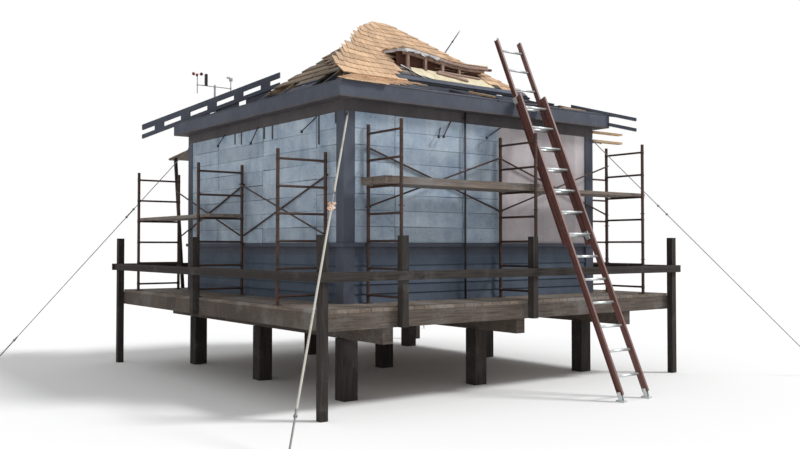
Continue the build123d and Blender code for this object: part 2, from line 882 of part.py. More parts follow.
finish(weather_mast.part, "weather_mast")

# Scaffold: ladder frames stand on the deck beside the left, front and right walls
frame_near = half + frame_clear
frame_far = frame_near + frame_width
first_rung = 100
frame_places = [-scaffold_first + n * scaffold_bay for n in range(3)]
side_plank_rung = 3
front_plank_rung = 4


def rung_z(rung):
    return deck_height + first_rung + rung * rung_spacing


def ladder_frames(turn, rungs):
    tube_height = rung_z(rungs - 1) + rung_top_gap - deck_height
    with BuildPart() as frames:
        for place in frame_places:
            with Locations((place, -frame_near, deck_height), (place, -frame_far, deck_height)):
                Cylinder(tube_radius, tube_height, align=(Align.CENTER, Align.CENTER, Align.MIN))
                Box(foot_side, foot_side, foot_thickness, align=(Align.CENTER, Align.CENTER, Align.MIN))
            with Locations(*[(place, -frame_near, rung_z(n)) for n in range(rungs)]):
                Cylinder(rung_radius, frame_width, rotation=(90, 0, 0),
                         align=(Align.CENTER, Align.CENTER, Align.MIN))
    return frames.part.rotate(Axis.Z, turn)


with BuildPart() as scaffold_frames:
    add(ladder_frames(0, front_frame_rungs))
    add(ladder_frames(90, side_frame_rungs))
    add(mirror(ladder_frames(90, side_frame_rungs), about=Plane.YZ))
finish(scaffold_frames.part, "scaffold_frames")

# Crossed braces: one bar each side of the inner tubes, so that the pair clears
brace_offset = tube_radius + brace_radius
brace_drop = 700
front_brace_top = 1840
side_brace_top = 1520


def crossed_braces(turn, top):
    with BuildPart() as braces:
        for start, end in zip(frame_places, frame_places[1:]):
            for offset, low_first in ((brace_offset, True), (-brace_offset, False)):
                place_y = -frame_near - offset
                first_z = deck_height + top - brace_drop
                last_z = deck_height + top
                if not low_first:
                    first_z, last_z = last_z, first_z
                ends = Vector(start, place_y, first_z), Vector(end, place_y, last_z)
                run = ends[1] - ends[0]
                with BuildSketch(Plane(origin=ends[0], x_dir=(0, 1, 0), z_dir=run)):
                    Circle(brace_radius)
                extrude(amount=run.length)
    return braces.part.rotate(Axis.Z, turn)


with BuildPart() as scaffold_braces:
    add(crossed_braces(0, front_brace_top))
    add(crossed_braces(90, side_brace_top))
    add(mirror(crossed_braces(90, side_brace_top), about=Plane.YZ))
finish(scaffold_braces.part, "scaffold_braces")

plank_overhang = 160
plank_gap = 5
plank_row = (frame_near + frame_far) / 2


def plank_pair(turn, rung, first, last, layer):
    start = frame_places[first] - plank_overhang
    end = frame_places[last] + plank_overhang
    plank_z = rung_z(rung) + rung_radius + layer * plank_thickness
    with BuildPart() as planks:
        with Locations(((start + end) / 2, -plank_row, plank_z)):
            with GridLocations(0, plank_width + plank_gap, 1, 2):
                Box(end - start, plank_width, plank_thickness, align=(Align.CENTER, Align.CENTER, Align.MIN))
    return planks.part.rotate(Axis.Z, turn)


with BuildPart() as scaffold_planks:
    add(plank_pair(0, front_plank_rung, 0, 2, 0))
    add(plank_pair(0, front_plank_rung, 0, 1, 1))
    add(plank_pair(90, side_plank_rung, 1, 2, 0))
    add(mirror(plank_pair(90, side_plank_rung, 1, 2, 0), about=Plane.YZ))
finish(scaffold_planks.part, "scaffold_planks")

# Extension ladder: its fly section lies on the eave boards, the base outside it
eave_rest_y = -eave_half - lath_step
eave_rest_z = eave_z + lath_thickness * kick_slant
ladder_angle = math.atan2(eave_rest_z, ladder_foot_reach)
ladder_plane = Plane(
    origin=(ladder_place, eave_rest_y - ladder_foot_reach, 0),
    x_dir=(1, 0, 0),
    z_dir=(0, -math.sin(ladder_angle), math.cos(ladder_angle)),
)
fly_rail_depth = 65
fly_width = ladder_width - ladder_rail_thickness
fly_top = 5020
ladder_foot_spare = 200
rung_start = 260


def ladder_section(plane, low, high, width, depth, first):
    with BuildPart() as section:
        with BuildSketch(plane):
            with Locations((0, low)):
                with GridLocations(width - ladder_rail_thickness, 0, 2, 1):
                    Rectangle(ladder_rail_thickness, high - low, align=(Align.CENTER, Align.MIN))
        extrude(amount=depth)
        count = int((high - first - ladder_rail_thickness) // ladder_rung_spacing) + 1
        with Locations(plane.offset(depth / 2)):
            with Locations(*[(0, first + n * ladder_rung_spacing, 0) for n in range(count)]):
                Cylinder(ladder_rung_radius, width - ladder_rail_thickness, rotation=(0, 90, 0))
    return section.part


with BuildPart() as ladder_fly:
    add(ladder_section(ladder_plane, fly_top - ladder_fly_length, fly_top, fly_width, fly_rail_depth,
                       fly_top - ladder_fly_length + rung_start / 2))
finish(ladder_fly.part, "ladder_fly")

with BuildPart() as ladder_base:
    add(ladder_section(ladder_plane.offset(fly_rail_depth), -ladder_foot_spare, ladder_base_length,
                       ladder_width, ladder_rail_depth, rung_start))
    with Locations((ladder_place, eave_rest_y - ladder_foot_reach, 0)):
        Box(2 * ladder_width, 4 * ladder_width, 2 * ladder_width,
            align=(Align.CENTER, Align.CENTER, Align.MAX), mode=Mode.SUBTRACT)
finish(ladder_base.part, "ladder_base")

# Four guys run from eyes on the corner boards to rods in the ground
guy_top_drop = 30
guy_top = shutter_top - guy_top_drop
eye_radius = 12
eye_length = 30
eye_in = 48
guy_spread = 60
turnbuckle_radius = 20
turnbuckle_length = 170
turnbuckle_share = 0.29
anchor_length = 420

with BuildPart() as guy_cables:
    for side_x, side_y in ((-1, -1), (1, -1), (1, 1), (-1, 1)):
        reach = near_guy_reach if (side_x, side_y) == (-1, -1) else guy_reach
        eye = Vector(side_x * (corner_out - eye_in), side_y * corner_out, guy_top)
        top = eye + Vector(0, side_y * eye_length / 2, 0)
        foot = Vector(top.X + side_x * reach, top.Y + side_y * (reach + guy_spread), 0)
        run = foot - top
        with BuildSketch(Plane(origin=eye, x_dir=(1, 0, 0), z_dir=(0, side_y, 0))):
            Circle(eye_radius)
        extrude(amount=eye_length)
        with BuildSketch(Plane(origin=top, x_dir=(0, 0, 1), z_dir=run)):
            Circle(guy_radius)
        extrude(amount=run.length + anchor_length)
        with BuildSketch(Plane(origin=top + run * turnbuckle_share, x_dir=(0, 0, 1), z_dir=run)):
            Circle(turnbuckle_radius)
        extrude(amount=turnbuckle_length)
        with BuildSketch(Plane(origin=foot - run.normalized() * anchor_length, x_dir=(0, 0, 1), z_dir=run)):
            Circle(anchor_rod_radius)
        extrude(amount=2 * anchor_length)
    Box(8 * half, 8 * half, 4 * anchor_length, align=(Align.CENTER, Align.CENTER, Align.MAX),
        mode=Mode.SUBTRACT)
finish(guy_cables.part, "guy_cables")
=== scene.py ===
import bpy
import bmesh
import math
import random
from mathutils import Matrix, Vector


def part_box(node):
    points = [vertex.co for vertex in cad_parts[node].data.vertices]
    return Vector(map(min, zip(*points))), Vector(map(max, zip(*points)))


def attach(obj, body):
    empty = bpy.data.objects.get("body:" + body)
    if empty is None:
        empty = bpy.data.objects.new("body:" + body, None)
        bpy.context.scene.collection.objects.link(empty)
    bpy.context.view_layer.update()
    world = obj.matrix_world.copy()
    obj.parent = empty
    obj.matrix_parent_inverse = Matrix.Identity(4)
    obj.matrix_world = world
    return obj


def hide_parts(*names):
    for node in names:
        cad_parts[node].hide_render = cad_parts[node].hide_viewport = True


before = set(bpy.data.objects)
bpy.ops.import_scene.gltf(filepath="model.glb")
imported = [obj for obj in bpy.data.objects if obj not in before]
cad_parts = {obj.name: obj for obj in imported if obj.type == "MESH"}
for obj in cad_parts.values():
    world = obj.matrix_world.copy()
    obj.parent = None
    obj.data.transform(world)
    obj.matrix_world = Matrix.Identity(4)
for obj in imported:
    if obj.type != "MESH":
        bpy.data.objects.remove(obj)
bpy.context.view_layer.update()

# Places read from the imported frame, in metres
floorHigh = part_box("cab_floor")[1]
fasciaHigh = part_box("fascia_boards")[1]
sillLow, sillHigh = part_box("sill_boards")
friezeLow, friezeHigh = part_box("frieze_boards")
deckLow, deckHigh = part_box("deck_planking")
half = floorHigh.x
deckTop = floorHigh.z
deckHalf = deckHigh.x
eaveHalf = fasciaHigh.x
eaveZ = fasciaHigh.z
soffitZ = friezeHigh.z
sillTop = sillHigh.z
shutterTop = friezeLow.z
cornerOut = friezeHigh.x
cornerBoard = 0.125
cornerIn = half - cornerBoard
sideways = Vector((1, 0, 0))
backward = Vector((0, 1, 0))
upward = Vector((0, 0, 1))

# The roof kicks out to a flatter pitch along the eave
roof = {"pitch": 37.5, "kickPitch": 18, "kickReach": 0.780, "lath": 0.020, "cover": 0.044}
kickAngle = math.radians(roof["kickPitch"])
mainAngle = math.radians(roof["pitch"])
kickLength = roof["kickReach"] / math.cos(kickAngle)
breakHalf = eaveHalf - roof["kickReach"]
breakZ = eaveZ + roof["kickReach"] * math.tan(kickAngle)
faceLength = kickLength + breakHalf / math.cos(mainAngle)


# Node helpers: a node gets its options and inputs in one line
def setInputs(tree, node, inputs):
    for key, value in inputs.items():
        if isinstance(value, bpy.types.NodeSocket):
            tree.links.new(value, node.inputs[key])
        else:
            node.inputs[key].default_value = value


def addNode(tree, kind, inputs, **options):
    node = tree.nodes.new(kind)
    for key, value in options.items():
        setattr(node, key, value)
    setInputs(tree, node, inputs)
    return node.outputs


def shade(tree, kind, inputs, **options):
    return addNode(tree, "ShaderNode" + kind, inputs, **options)


def mixColour(tree, factor, first, second, mode="MIX"):
    return shade(tree, "Mix", {0: factor, 6: first, 7: second}, data_type="RGBA", blend_type=mode)[2]


def ramp(tree, factor, low, dark, high, light):
    output = shade(tree, "ValToRGB", {"Fac": factor})["Color"]
    for element, place, colour in zip(output.node.color_ramp.elements, (low, high), (dark, light)):
        element.position = place
        element.color = (*colour, 1)
    return output


def mask(tree, factor, low, high):
    return shade(tree, "MapRange", {"Value": factor, "From Min": low, "From Max": high})["Result"]


def calculate(tree, operation, first, second=0.0):
    return shade(tree, "Math", {0: first, 1: second}, operation=operation)[0]


def objectPoint(tree):
    return shade(tree, "TexCoord", {})["Object"]


def noise(tree, point, scale, detail=4.0, roughness=0.6):
    inputs = {"Vector": point, "Scale": scale, "Detail": detail, "Roughness": roughness}
    return shade(tree, "TexNoise", inputs)["Fac"]


def wayOf(tree, direction):
    return shade(tree, "CombineXYZ", dict(enumerate(direction)))[0]


def reachAlong(tree, way):
    return shade(tree, "VectorMath", {0: objectPoint(tree), 1: way}, operation="DOT_PRODUCT")["Value"]


def alongGrain(tree, direction, squeeze=0.05):
    if direction is None:
        way = shade(tree, "Attribute", {}, attribute_name="grainDir")["Vector"]
    else:
        way = wayOf(tree, direction)
    shift = calculate(tree, "MULTIPLY", reachAlong(tree, way), squeeze - 1)
    back = shade(tree, "VectorMath", {0: way, "Scale": shift}, operation="SCALE")[0]
    return shade(tree, "VectorMath", {0: objectPoint(tree), 1: back}, operation="ADD")[0]


# One tone for a piece, or for each cell of a width along a direction
def pieceTone(tree, cell):
    if cell is None:
        return shade(tree, "Attribute", {}, attribute_name="boardTone")["Fac"]
    step = calculate(tree, "MULTIPLY", reachAlong(tree, wayOf(tree, cell[0])), 1 / cell[1])
    return shade(tree, "TexWhiteNoise", {"W": calculate(tree, "FLOOR", step)}, noise_dimensions="1D")["Value"]


def scaled(colour, factor):
    return [min(1, channel * factor) for channel in colour]


# A second colour laid where a noise, given by its point, scale and so on, passes a threshold
def stain(tree, body, colour, spots, low, high, strength=None):
    where = mask(tree, noise(tree, *spots), low, high)
    if strength is not None:
        where = calculate(tree, "MULTIPLY", where, strength)
    return mixColour(tree, where, body, (*colour, 1))


materials = {}


def newLook(name):
    material = bpy.data.materials.new(name)
    material.use_nodes = True
    materials[name] = material
    return material.node_tree, material.node_tree.nodes["Principled BSDF"]


def dress(tree, shader, colour, height, strength, distance, **inputs):
    bump = shade(tree, "Bump", {"Height": height, "Strength": strength, "Distance": distance})[0]
    setInputs(tree, shader, {"Base Color": colour, "Normal": bump, **inputs})


# Bare timber: long grain, board to board tone, grey weathering in patches, and old
# paint left below a height
def timber(name, dark, light, grey, direction=None, cell=None, weather=0.4, bump=0.5, paint=None):
    tree, shader = newLook(name)
    grain = alongGrain(tree, direction)
    lines = noise(tree, grain, 55, 5, 0.65)
    tone = mask(tree, pieceTone(tree, cell), -0.2, 1.2)
    tone = ramp(tree, tone, 0.1, (0.45, 0.45, 0.45), 0.9, (1.15, 1.12, 1.08))
    colour = mixColour(tree, 0.55, ramp(tree, lines, 0.30, dark, 0.68, light), tone, "MULTIPLY")
    colour = stain(tree, colour, grey, (objectPoint(tree), 1.7, 5, 0.7), 0.62 - weather * 0.3, 0.72)
    colour = stain(tree, colour, scaled(dark, 0.35), (grain, 130, 2), 0.36, 0.30, 0.5)
    if paint:
        coat, coatTop = paint
        height = shade(tree, "SeparateXYZ", {0: objectPoint(tree)})["Z"]
        height = calculate(tree, "ADD", height, calculate(tree, "MULTIPLY", noise(tree, grain, 9, 4), 0.12))
        left = calculate(tree, "MULTIPLY", mask(tree, height, coatTop + 0.09, coatTop + 0.03), 0.93)
        coated = ramp(tree, lines, 0.3, scaled(coat, 0.7), 0.7, scaled(coat, 1.3))
        colour = mixColour(tree, left, colour, coated)
    dress(tree, shader, colour, lines, bump, 0.004, **{"Roughness": 0.85, "Specular IOR Level": 0.25})


# Paint on timber: chalky patches, runs down the face, chips that show the wood
def painted(name, colour, pale, under, direction, wear, runs=0.3, cell=None):
    tree, shader = newLook(name)
    grain = alongGrain(tree, direction)
    body = ramp(tree, noise(tree, objectPoint(tree), 2.6, 6, 0.7), 0.35, colour, 0.70, pale)
    tone = ramp(tree, pieceTone(tree, cell), 0.0, (0.82, 0.82, 0.82), 1.0, (1.12, 1.12, 1.12))
    body = mixColour(tree, 0.8, body, tone, "MULTIPLY")
    drip = alongGrain(tree, upward, 0.04)
    body = stain(tree, body, scaled(colour, 0.55), (drip, 14, 4, 0.6), 0.55, 0.75, runs)
    body = stain(tree, body, under, (grain, 24, 6, 0.75), 0.70 - wear * 0.25, 0.74)
    dress(tree, shader, body, noise(tree, grain, 60, 4), 0.35, 0.003,
          **{"Roughness": 0.7, "Specular IOR Level": 0.3})


# Steel with a worn coat and rust that gathers in patches
def steel(name, coat, rust, rusted, metallic=0.6, roughness=0.55):
    tree, shader = newLook(name)
    point = objectPoint(tree)
    spots = mask(tree, noise(tree, point, 9, 6, 0.75), 0.66 - rusted * 0.4, 0.70)
    colour = ramp(tree, noise(tree, point, 30, 4), 0.3, coat, 0.75, scaled(coat, 1.5))
    worn = ramp(tree, noise(tree, point, 70, 3), 0.3, scaled(rust, 0.6), 0.7, rust)
    dress(tree, shader, mixColour(tree, spots, colour, worn), noise(tree, point, 120, 3), 0.3, 0.001,
          Metallic=metallic, Roughness=roughness)


# Felt, underlay and cloth, blotched and rough, and a black sheet that paints shade
def torn(name, colour, pale):
    tree, shader = newLook(name)
    point = objectPoint(tree)
    body = ramp(tree, noise(tree, point, 11, 6, 0.7), 0.35, colour, 0.65, pale)
    dress(tree, shader, body, noise(tree, point, 45, 5), 0.6, 0.006, Roughness=0.9)


railDark = ((0.015, 0.013, 0.012), (0.060, 0.050, 0.045), (0.07, 0.065, 0.06))
slate = (0.055, 0.064, 0.088)
paintedTails = ((0.060, 0.070, 0.095), 4.12)

timber("cedarShingle", (0.47, 0.29, 0.17), (0.82, 0.60, 0.41), (0.62, 0.50, 0.42), weather=0.05, bump=0.4)
# Left face: old grey shingles, partly their weathered colour, partly darkened as painted shade for that face
timber("oldShadedShingle", (0.11, 0.080, 0.06), (0.33, 0.24, 0.165), (0.22, 0.21, 0.185), weather=0.35, bump=0.6)
timber("weatheredBoard", (0.13, 0.10, 0.08), (0.36, 0.28, 0.20), (0.26, 0.25, 0.23), weather=0.5,
       paint=paintedTails)
timber("rafterTimber", (0.20, 0.13, 0.08), (0.45, 0.33, 0.22), (0.22, 0.19, 0.17), upward,
       ((0.7, 0.7, 0), 0.3), 0.2, paint=paintedTails)
timber("freshPlank", (0.40, 0.26, 0.15), (0.72, 0.52, 0.33), (0.55, 0.45, 0.36), weather=0.1)
timber("pinkBoard", (0.30, 0.19, 0.15), (0.60, 0.44, 0.37), (0.52, 0.44, 0.40), weather=0.2)
timber("browTimber", (0.24, 0.14, 0.11), (0.52, 0.36, 0.29), (0.45, 0.38, 0.34), (0.3, 0, 1),
       (sideways, 0.31), 0.2)
timber("redBoard", (0.09, 0.035, 0.025), (0.20, 0.09, 0.065), (0.14, 0.09, 0.08), weather=0.1)
timber("darkRail", *railDark, sideways, (upward, 0.3), 0.2)
timber("darkPost", *railDark, upward, ((1, 1, 0), 0.5), 0.2)
timber("deckTimber", (0.05, 0.04, 0.035), (0.15, 0.12, 0.10), (0.16, 0.15, 0.14), sideways,
       ((0, 1, 0.3), 0.305))
timber("deckBoard", (0.09, 0.07, 0.055), (0.27, 0.22, 0.18), (0.25, 0.24, 0.23), weather=0.5)
timber("floorBoard", (0.26, 0.17, 0.10), (0.50, 0.37, 0.24), (0.4, 0.33, 0.27), backward,
       (sideways, 0.083), 0.1)
timber("frameTimber", (0.24, 0.16, 0.10), (0.48, 0.37, 0.26), (0.4, 0.36, 0.3), upward, ((1, 1, 0), 0.4), 0.2)
timber("scaffoldPlank", (0.09, 0.075, 0.065), (0.24, 0.195, 0.16), (0.20, 0.19, 0.185), weather=0.5)
painted("slatePaint", slate, (0.085, 0.096, 0.125), (0.12, 0.10, 0.09), upward, 0.1, cell=((1, 1, 0.5), 0.7))
painted("slateBoardPaint", slate, (0.10, 0.115, 0.15), (0.16, 0.13, 0.11), None, 0.2)
painted("soffitPaint", (0.060, 0.052, 0.055), (0.095, 0.085, 0.088), (0.11, 0.085, 0.07), sideways, 0.2,
        cell=(upward, 0.1))
painted("sidingPaint", (0.055, 0.075, 0.110), (0.085, 0.11, 0.15), (0.14, 0.12, 0.11), None, 0.15)
painted("shutterPaint", (0.235, 0.305, 0.400), (0.47, 0.55, 0.62), (0.36, 0.37, 0.38), None, 0.25, 0.25)
painted("plywoodPrimer", (0.42, 0.38, 0.40), (0.55, 0.51, 0.52), (0.45, 0.36, 0.28), upward, 0.15, 0.15,
        (sideways, 0.9))
painted("raisedShutterPaint", (0.11, 0.075, 0.055), (0.17, 0.12, 0.09), (0.24, 0.17, 0.11), None, 0.3)
steel("darkSteel", (0.03, 0.03, 0.035), (0.16, 0.07, 0.04), 0.2)
steel("galvanisedPole", (0.30, 0.31, 0.33), (0.16, 0.13, 0.11), 0.3)
steel("scaffoldSteel", (0.032, 0.024, 0.022), (0.125, 0.054, 0.034), 0.70, 0.35, 0.68)
steel("guySteel", (0.16, 0.16, 0.16), (0.15, 0.10, 0.07), 0.3, 0.7, 0.5)
steel("rungAluminium", (0.50, 0.53, 0.53), (0.40, 0.40, 0.37), 0.2, 0.85, 0.38)
steel("redCup", (0.16, 0.03, 0.03), (0.10, 0.03, 0.02), 0.2, 0.0, 0.5)
steel("blackPlastic", (0.012, 0.012, 0.013), (0.03, 0.028, 0.026), 0.3, 0.0, 0.45)
torn("tornFelt", (0.34, 0.34, 0.36), (0.74, 0.74, 0.75))
torn("paleUnderlay", (0.62, 0.53, 0.34), (0.84, 0.77, 0.58))
# Near black: painted shade for the left face's opening
torn("blackShadeSheet", (0.012, 0.012, 0.014), (0.032, 0.031, 0.033))
torn("guyTag", (0.62, 0.30, 0.14), (0.85, 0.78, 0.70))

# Fibreglass: threads up the rails, dirt over them, and pale pinkish patches of painted highlight
tree, shader = newLook("ladderRail")
point = objectPoint(tree)
threads = noise(tree, alongGrain(tree, (0, 0.405, 0.914), 0.03), 90, 4)
body = ramp(tree, threads, 0.3, (0.110, 0.042, 0.036), 0.75, (0.185, 0.082, 0.066))
body = stain(tree, body, (0.10, 0.055, 0.045), (point, 5, 5, 0.7), 0.55, 0.72, 0.5)
# Painted highlight: pale pinkish patches laid by noise stand in for light catching the rails' edges
body = stain(tree, body, (0.42, 0.27, 0.24), (point, 16, 5, 0.7), 0.60, 0.72, 0.35)
dress(tree, shader, body, threads, 0.2, 0.001, Roughness=0.5)

tree, shader = newLook("windowGlass")
smear = noise(tree, objectPoint(tree), 4, 4)
smear = ramp(tree, smear, 0.3, (0.72, 0.78, 0.80), 0.7, (0.85, 0.90, 0.92))
setInputs(tree, shader, {"Base Color": smear, "Roughness": 0.06, "Transmission Weight": 0.9})

# Laid rope: fine slanting bands up its length, faded and a little dirty
tree, shader = newLook("paleRope")
point = objectPoint(tree)
ropeDark = (0.40, 0.38, 0.33)
strands = shade(tree, "TexWave", {"Vector": point, "Scale": 22, "Distortion": 1.2, "Detail": 2},
                bands_direction="DIAGONAL")["Fac"]
body = ramp(tree, strands, 0.2, ropeDark, 0.7, (0.62, 0.60, 0.54))
body = stain(tree, body, scaled(ropeDark, 0.5), (point, 4, 5, 0.7), 0.52, 0.75, 0.6)
dress(tree, shader, body, strands, 0.6, 0.003, Roughness=0.85)
print("materials ready")


# Repeated pieces: points carry turn, size and grain, the tree sets a unit shape on each
def repeatTree():
    tree = bpy.data.node_groups.new("repeatPieces", "GeometryNodeTree")
    for name, kind in (("Points", "Geometry"), ("Shape", "Object"), ("Tilt", "Float"), ("Swell", "Float"),
                       ("Seed", "Int"), ("Finish", "Material")):
        tree.interface.new_socket(name, in_out="INPUT", socket_type="NodeSocket" + kind)
    tree.interface.new_socket("Pieces", in_out="OUTPUT", socket_type="NodeSocketGeometry")
    group = tree.nodes.new("NodeGroupInput").outputs

    def vectors(operation, inputs):
        return shade(tree, "VectorMath", inputs, operation=operation)[0]

    def stored(name):
        return addNode(tree, "GeometryNodeInputNamedAttribute", {"Name": name}, data_type="FLOAT_VECTOR")[0]

    def jitter(amount, shift):
        seed = calculate(tree, "ADD", group["Seed"], float(shift))
        spread = addNode(tree, "FunctionNodeRandomValue", {0: (-1, -1, -1), 1: (1, 1, 1), "Seed": seed},
                         data_type="FLOAT_VECTOR")[0]
        return vectors("SCALE", {0: spread, "Scale": amount})

    turn = vectors("ADD", {0: stored("pieceTurn"), 1: jitter(group["Tilt"], 1)})
    swell = vectors("ADD", {0: jitter(group["Swell"], 2), 1: (1, 1, 1)})
    size = vectors("MULTIPLY", {0: stored("pieceSize"), 1: swell})
    shape = addNode(tree, "GeometryNodeObjectInfo", {"Object": group["Shape"]})["Geometry"]
    placed = addNode(tree, "GeometryNodeInstanceOnPoints", {
        "Points": group["Points"], "Instance": shape, "Rotation": turn, "Scale": size})[0]
    tone = addNode(tree, "FunctionNodeRandomValue", {"Seed": group["Seed"]}, data_type="FLOAT")[1]
    toned = addNode(tree, "GeometryNodeStoreNamedAttribute", {
        "Geometry": placed, "Name": "boardTone", "Value": tone}, data_type="FLOAT", domain="INSTANCE")[0]
    real = addNode(tree, "GeometryNodeRealizeInstances", {"Geometry": toned})[0]
    done = addNode(tree, "GeometryNodeSetMaterial", {"Geometry": real, "Material": group["Finish"]})[0]
    tree.links.new(done, tree.nodes.new("NodeGroupOutput").inputs[0])
    return tree


pieceTree = repeatTree()
socketIds = {item.name: item.identifier for item in pieceTree.interface.items_tree if item.in_out == "INPUT"}


def addObject(name, data):
    obj = bpy.data.objects.new(name, data)
    bpy.context.scene.collection.objects.link(obj)
    return obj


def unitShape(name, corners, faces, smooth=()):
    mesh = bpy.data.meshes.new(name)
    mesh.from_pydata(corners, [], faces)
    for index in smooth:
        mesh.polygons[index].use_smooth = True
    return addObject(name, mesh)


# A board is a block round its middle, a wedge is thick at its lower edge and laps the
# next, a rod runs along x
blockFaces = [(0, 3, 2, 1), (4, 5, 6, 7), (0, 1, 5, 4), (1, 2, 6, 5), (2, 3, 7, 6), (3, 0, 4, 7)]
boardShape = unitShape("unitBoard", [(-.5, -.5, -.5), (.5, -.5, -.5), (.5, .5, -.5), (-.5, .5, -.5),
                                     (-.5, -.5, .5), (.5, -.5, .5), (.5, .5, .5), (-.5, .5, .5)], blockFaces)
wedgeShape = unitShape("unitWedge", [(-.5, 0, .42), (.5, 0, .42), (.5, 1, 0), (-.5, 1, 0),
                                     (-.5, 0, 1), (.5, 0, 1), (.5, 1, .16), (-.5, 1, .16)], blockFaces)
rodSides = 14
rodRing = [(0.5 * math.cos(2 * math.pi * n / rodSides), 0.5 * math.sin(2 * math.pi * n / rodSides))
           for n in range(rodSides)]
rodSkin = [(n, (n + 1) % rodSides, rodSides + (n + 1) % rodSides, rodSides + n) for n in range(rodSides)]
rodShape = unitShape("unitRod", [(end, y, z) for end in (0.5, -0.5) for y, z in rodRing],
                     [*rodSkin, tuple(reversed(range(rodSides))), tuple(range(rodSides, 2 * rodSides))],
                     range(rodSides))


def finishPiece(name, mesh, replaced=()):
    obj = addObject(name, mesh)
    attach(obj, "root")
    if replaced:
        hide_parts(*replaced)


# Cuts a mesh back to the inner side of each plane and closes the cut faces
def clipMesh(mesh, planes):
    work = bmesh.new()
    work.from_mesh(mesh)
    for point, outward in planes:
        every = work.verts[:] + work.edges[:] + work.faces[:]
        cut = bmesh.ops.bisect_plane(work, geom=every, plane_co=point, plane_no=outward, clear_outer=True)
        rim = [part for part in cut["geom_cut"] if isinstance(part, bmesh.types.BMEdge) and part.is_boundary]
        bmesh.ops.holes_fill(work, edges=rim, sides=0)
    bmesh.ops.recalc_face_normals(work, faces=work.faces[:])
    work.to_mesh(mesh)
    work.free()


def layPieces(name, places, finish, replaced=(), shape=boardShape, tilt=0.0, swell=0.0, seed=1,
              clip=()):
    mesh = bpy.data.meshes.new(name + "Points")
    mesh.from_pydata([place[0] for place in places], [], [])
    for key, index in (("pieceTurn", 1), ("pieceSize", 2), ("grainDir", 3)):
        data = mesh.attributes.new(key, "FLOAT_VECTOR", "POINT").data
        data.foreach_set("vector", [value for place in places for value in place[index]])
    source = addObject(name + "Source", mesh)
    modifier = source.modifiers.new("repeat", "NODES")
    modifier.node_group = pieceTree
    for key, value in (("Shape", shape), ("Tilt", tilt), ("Swell", swell), ("Seed", seed),
                       ("Finish", materials[finish])):
        modifier[socketIds[key]] = value
    graph = bpy.context.evaluated_depsgraph_get()
    result = bpy.data.meshes.new_from_object(source.evaluated_get(graph), depsgraph=graph)
    source.modifiers.remove(modifier)
    bpy.data.objects.remove(source)
    if clip:
        clipMesh(result, clip)
    finishPiece(name, result, replaced)


def frameTurn(along, up):
    return Matrix((along, up, along.cross(up))).transposed().to_euler()


# A place is a middle, a turn, a size and the way of the grain
def boxPlace(centre, along, up, size):
    return (centre, frameTurn(along, up), size, along)


# A bar between two points, its width along up and its depth across both
def bar(start, end, width, depth, up=upward):
    start, end, up = Vector(start), Vector(end), Vector(up)
    along = (end - start).normalized()
    side = (up - along * along.dot(up)).normalized()
    return boxPlace((start + end) / 2, along, side, ((end - start).length, width, depth))


def takeMesh(work, name, finish):
    bmesh.ops.recalc_face_normals(work, faces=work.faces[:])
    mesh = bpy.data.meshes.new(name)
    work.to_mesh(mesh)
    work.free()
    mesh.materials.append(materials[finish])
    return mesh


# Round parts: profiles of radius and distance turned about an axis
def turnedPiece(name, parts, finish, replaced=(), sides=16, clip=()):
    work = bmesh.new()
    turns = [2 * math.pi * n / sides for n in range(sides)]
    for profile, base, axis in parts:
        axis = Vector(axis).normalized()
        across = axis.orthogonal().normalized()
        other = axis.cross(across)
        rings = []
        for radius, reach in profile:
            spots = [Vector(base) + axis * reach]
            if radius > 1e-6:
                spots = [spots[0] + across * (radius * math.cos(t)) + other * (radius * math.sin(t))
                         for t in turns]
            rings.append([work.verts.new(spot) for spot in spots])
        for lower, upper in zip(rings, rings[1:]):
            for n in range(sides):
                corners = [ring[m % len(ring)] for ring, m in
                           ((lower, n), (lower, (n + 1) % sides), (upper, (n + 1) % sides), (upper, n))]
                work.faces.new(list(dict.fromkeys(corners)))
    mesh = takeMesh(work, name, finish)
    if clip:
        clipMesh(mesh, clip)
    mesh.shade_smooth()
    mesh.set_sharp_from_angle(angle=math.radians(38))
    finishPiece(name, mesh, replaced)


def rodPart(start, end, radius):
    start, end = Vector(start), Vector(end)
    length = (end - start).length
    return ([(0, 0), (radius, 0), (radius, length), (0, length)], start, end - start)


def arc(radius, sweep, steps):
    turns = [sweep * n / steps for n in range(steps + 1)]
    return [(radius * math.sin(t), -radius * math.cos(t)) for t in turns]


def ballPart(centre, radius):
    return (arc(radius, math.pi, 8), centre, upward)


def cupPart(centre, axis, radius, wall):
    return (arc(radius, math.pi / 2, 6) + arc(radius - wall, math.pi / 2, 6)[::-1], centre, axis)


# A thin sheet from rows of points, given a thickness
def sheetPiece(name, rows, thickness, finish):
    work = bmesh.new()
    grid = [[work.verts.new(point) for point in row] for row in rows]
    for lower, upper in zip(grid, grid[1:]):
        for corners in zip(lower, lower[1:], upper[1:], upper):
            work.faces.new(corners)
    bmesh.ops.recalc_face_normals(work, faces=work.faces[:])
    bmesh.ops.solidify(work, geom=work.verts[:] + work.edges[:] + work.faces[:], thickness=thickness)
    finishPiece(name, takeMesh(work, name, finish))


def spinBy(turn):
    return Matrix.Rotation(math.radians(turn), 3, "Z")


# A roof face: x along the eave, y up the slope from the eave, lift off the rafters
def roofAxes(turn, y):
    spin = spinBy(turn)
    angle, out, z, start = (mainAngle, breakHalf, breakZ, kickLength)
    if y < kickLength:
        angle, out, z, start = (kickAngle, eaveHalf, eaveZ, 0)
    along = spin @ sideways
    lean = spin @ Vector((0, -math.sin(angle), math.cos(angle)))
    up = lean.cross(along)
    return spin @ Vector((0, -out, z)) - up * start, along, up, lean


def onRoof(turn, x, y, lift):
    edge, along, up, lean = roofAxes(turn, y)
    return edge + along * x + up * y + lean * lift


# Plan distance in from the eave for a distance up the slope, and back
def inwardAt(y):
    if y < kickLength:
        return y * math.cos(kickAngle)
    return roof["kickReach"] + (y - kickLength) * math.cos(mainAngle)


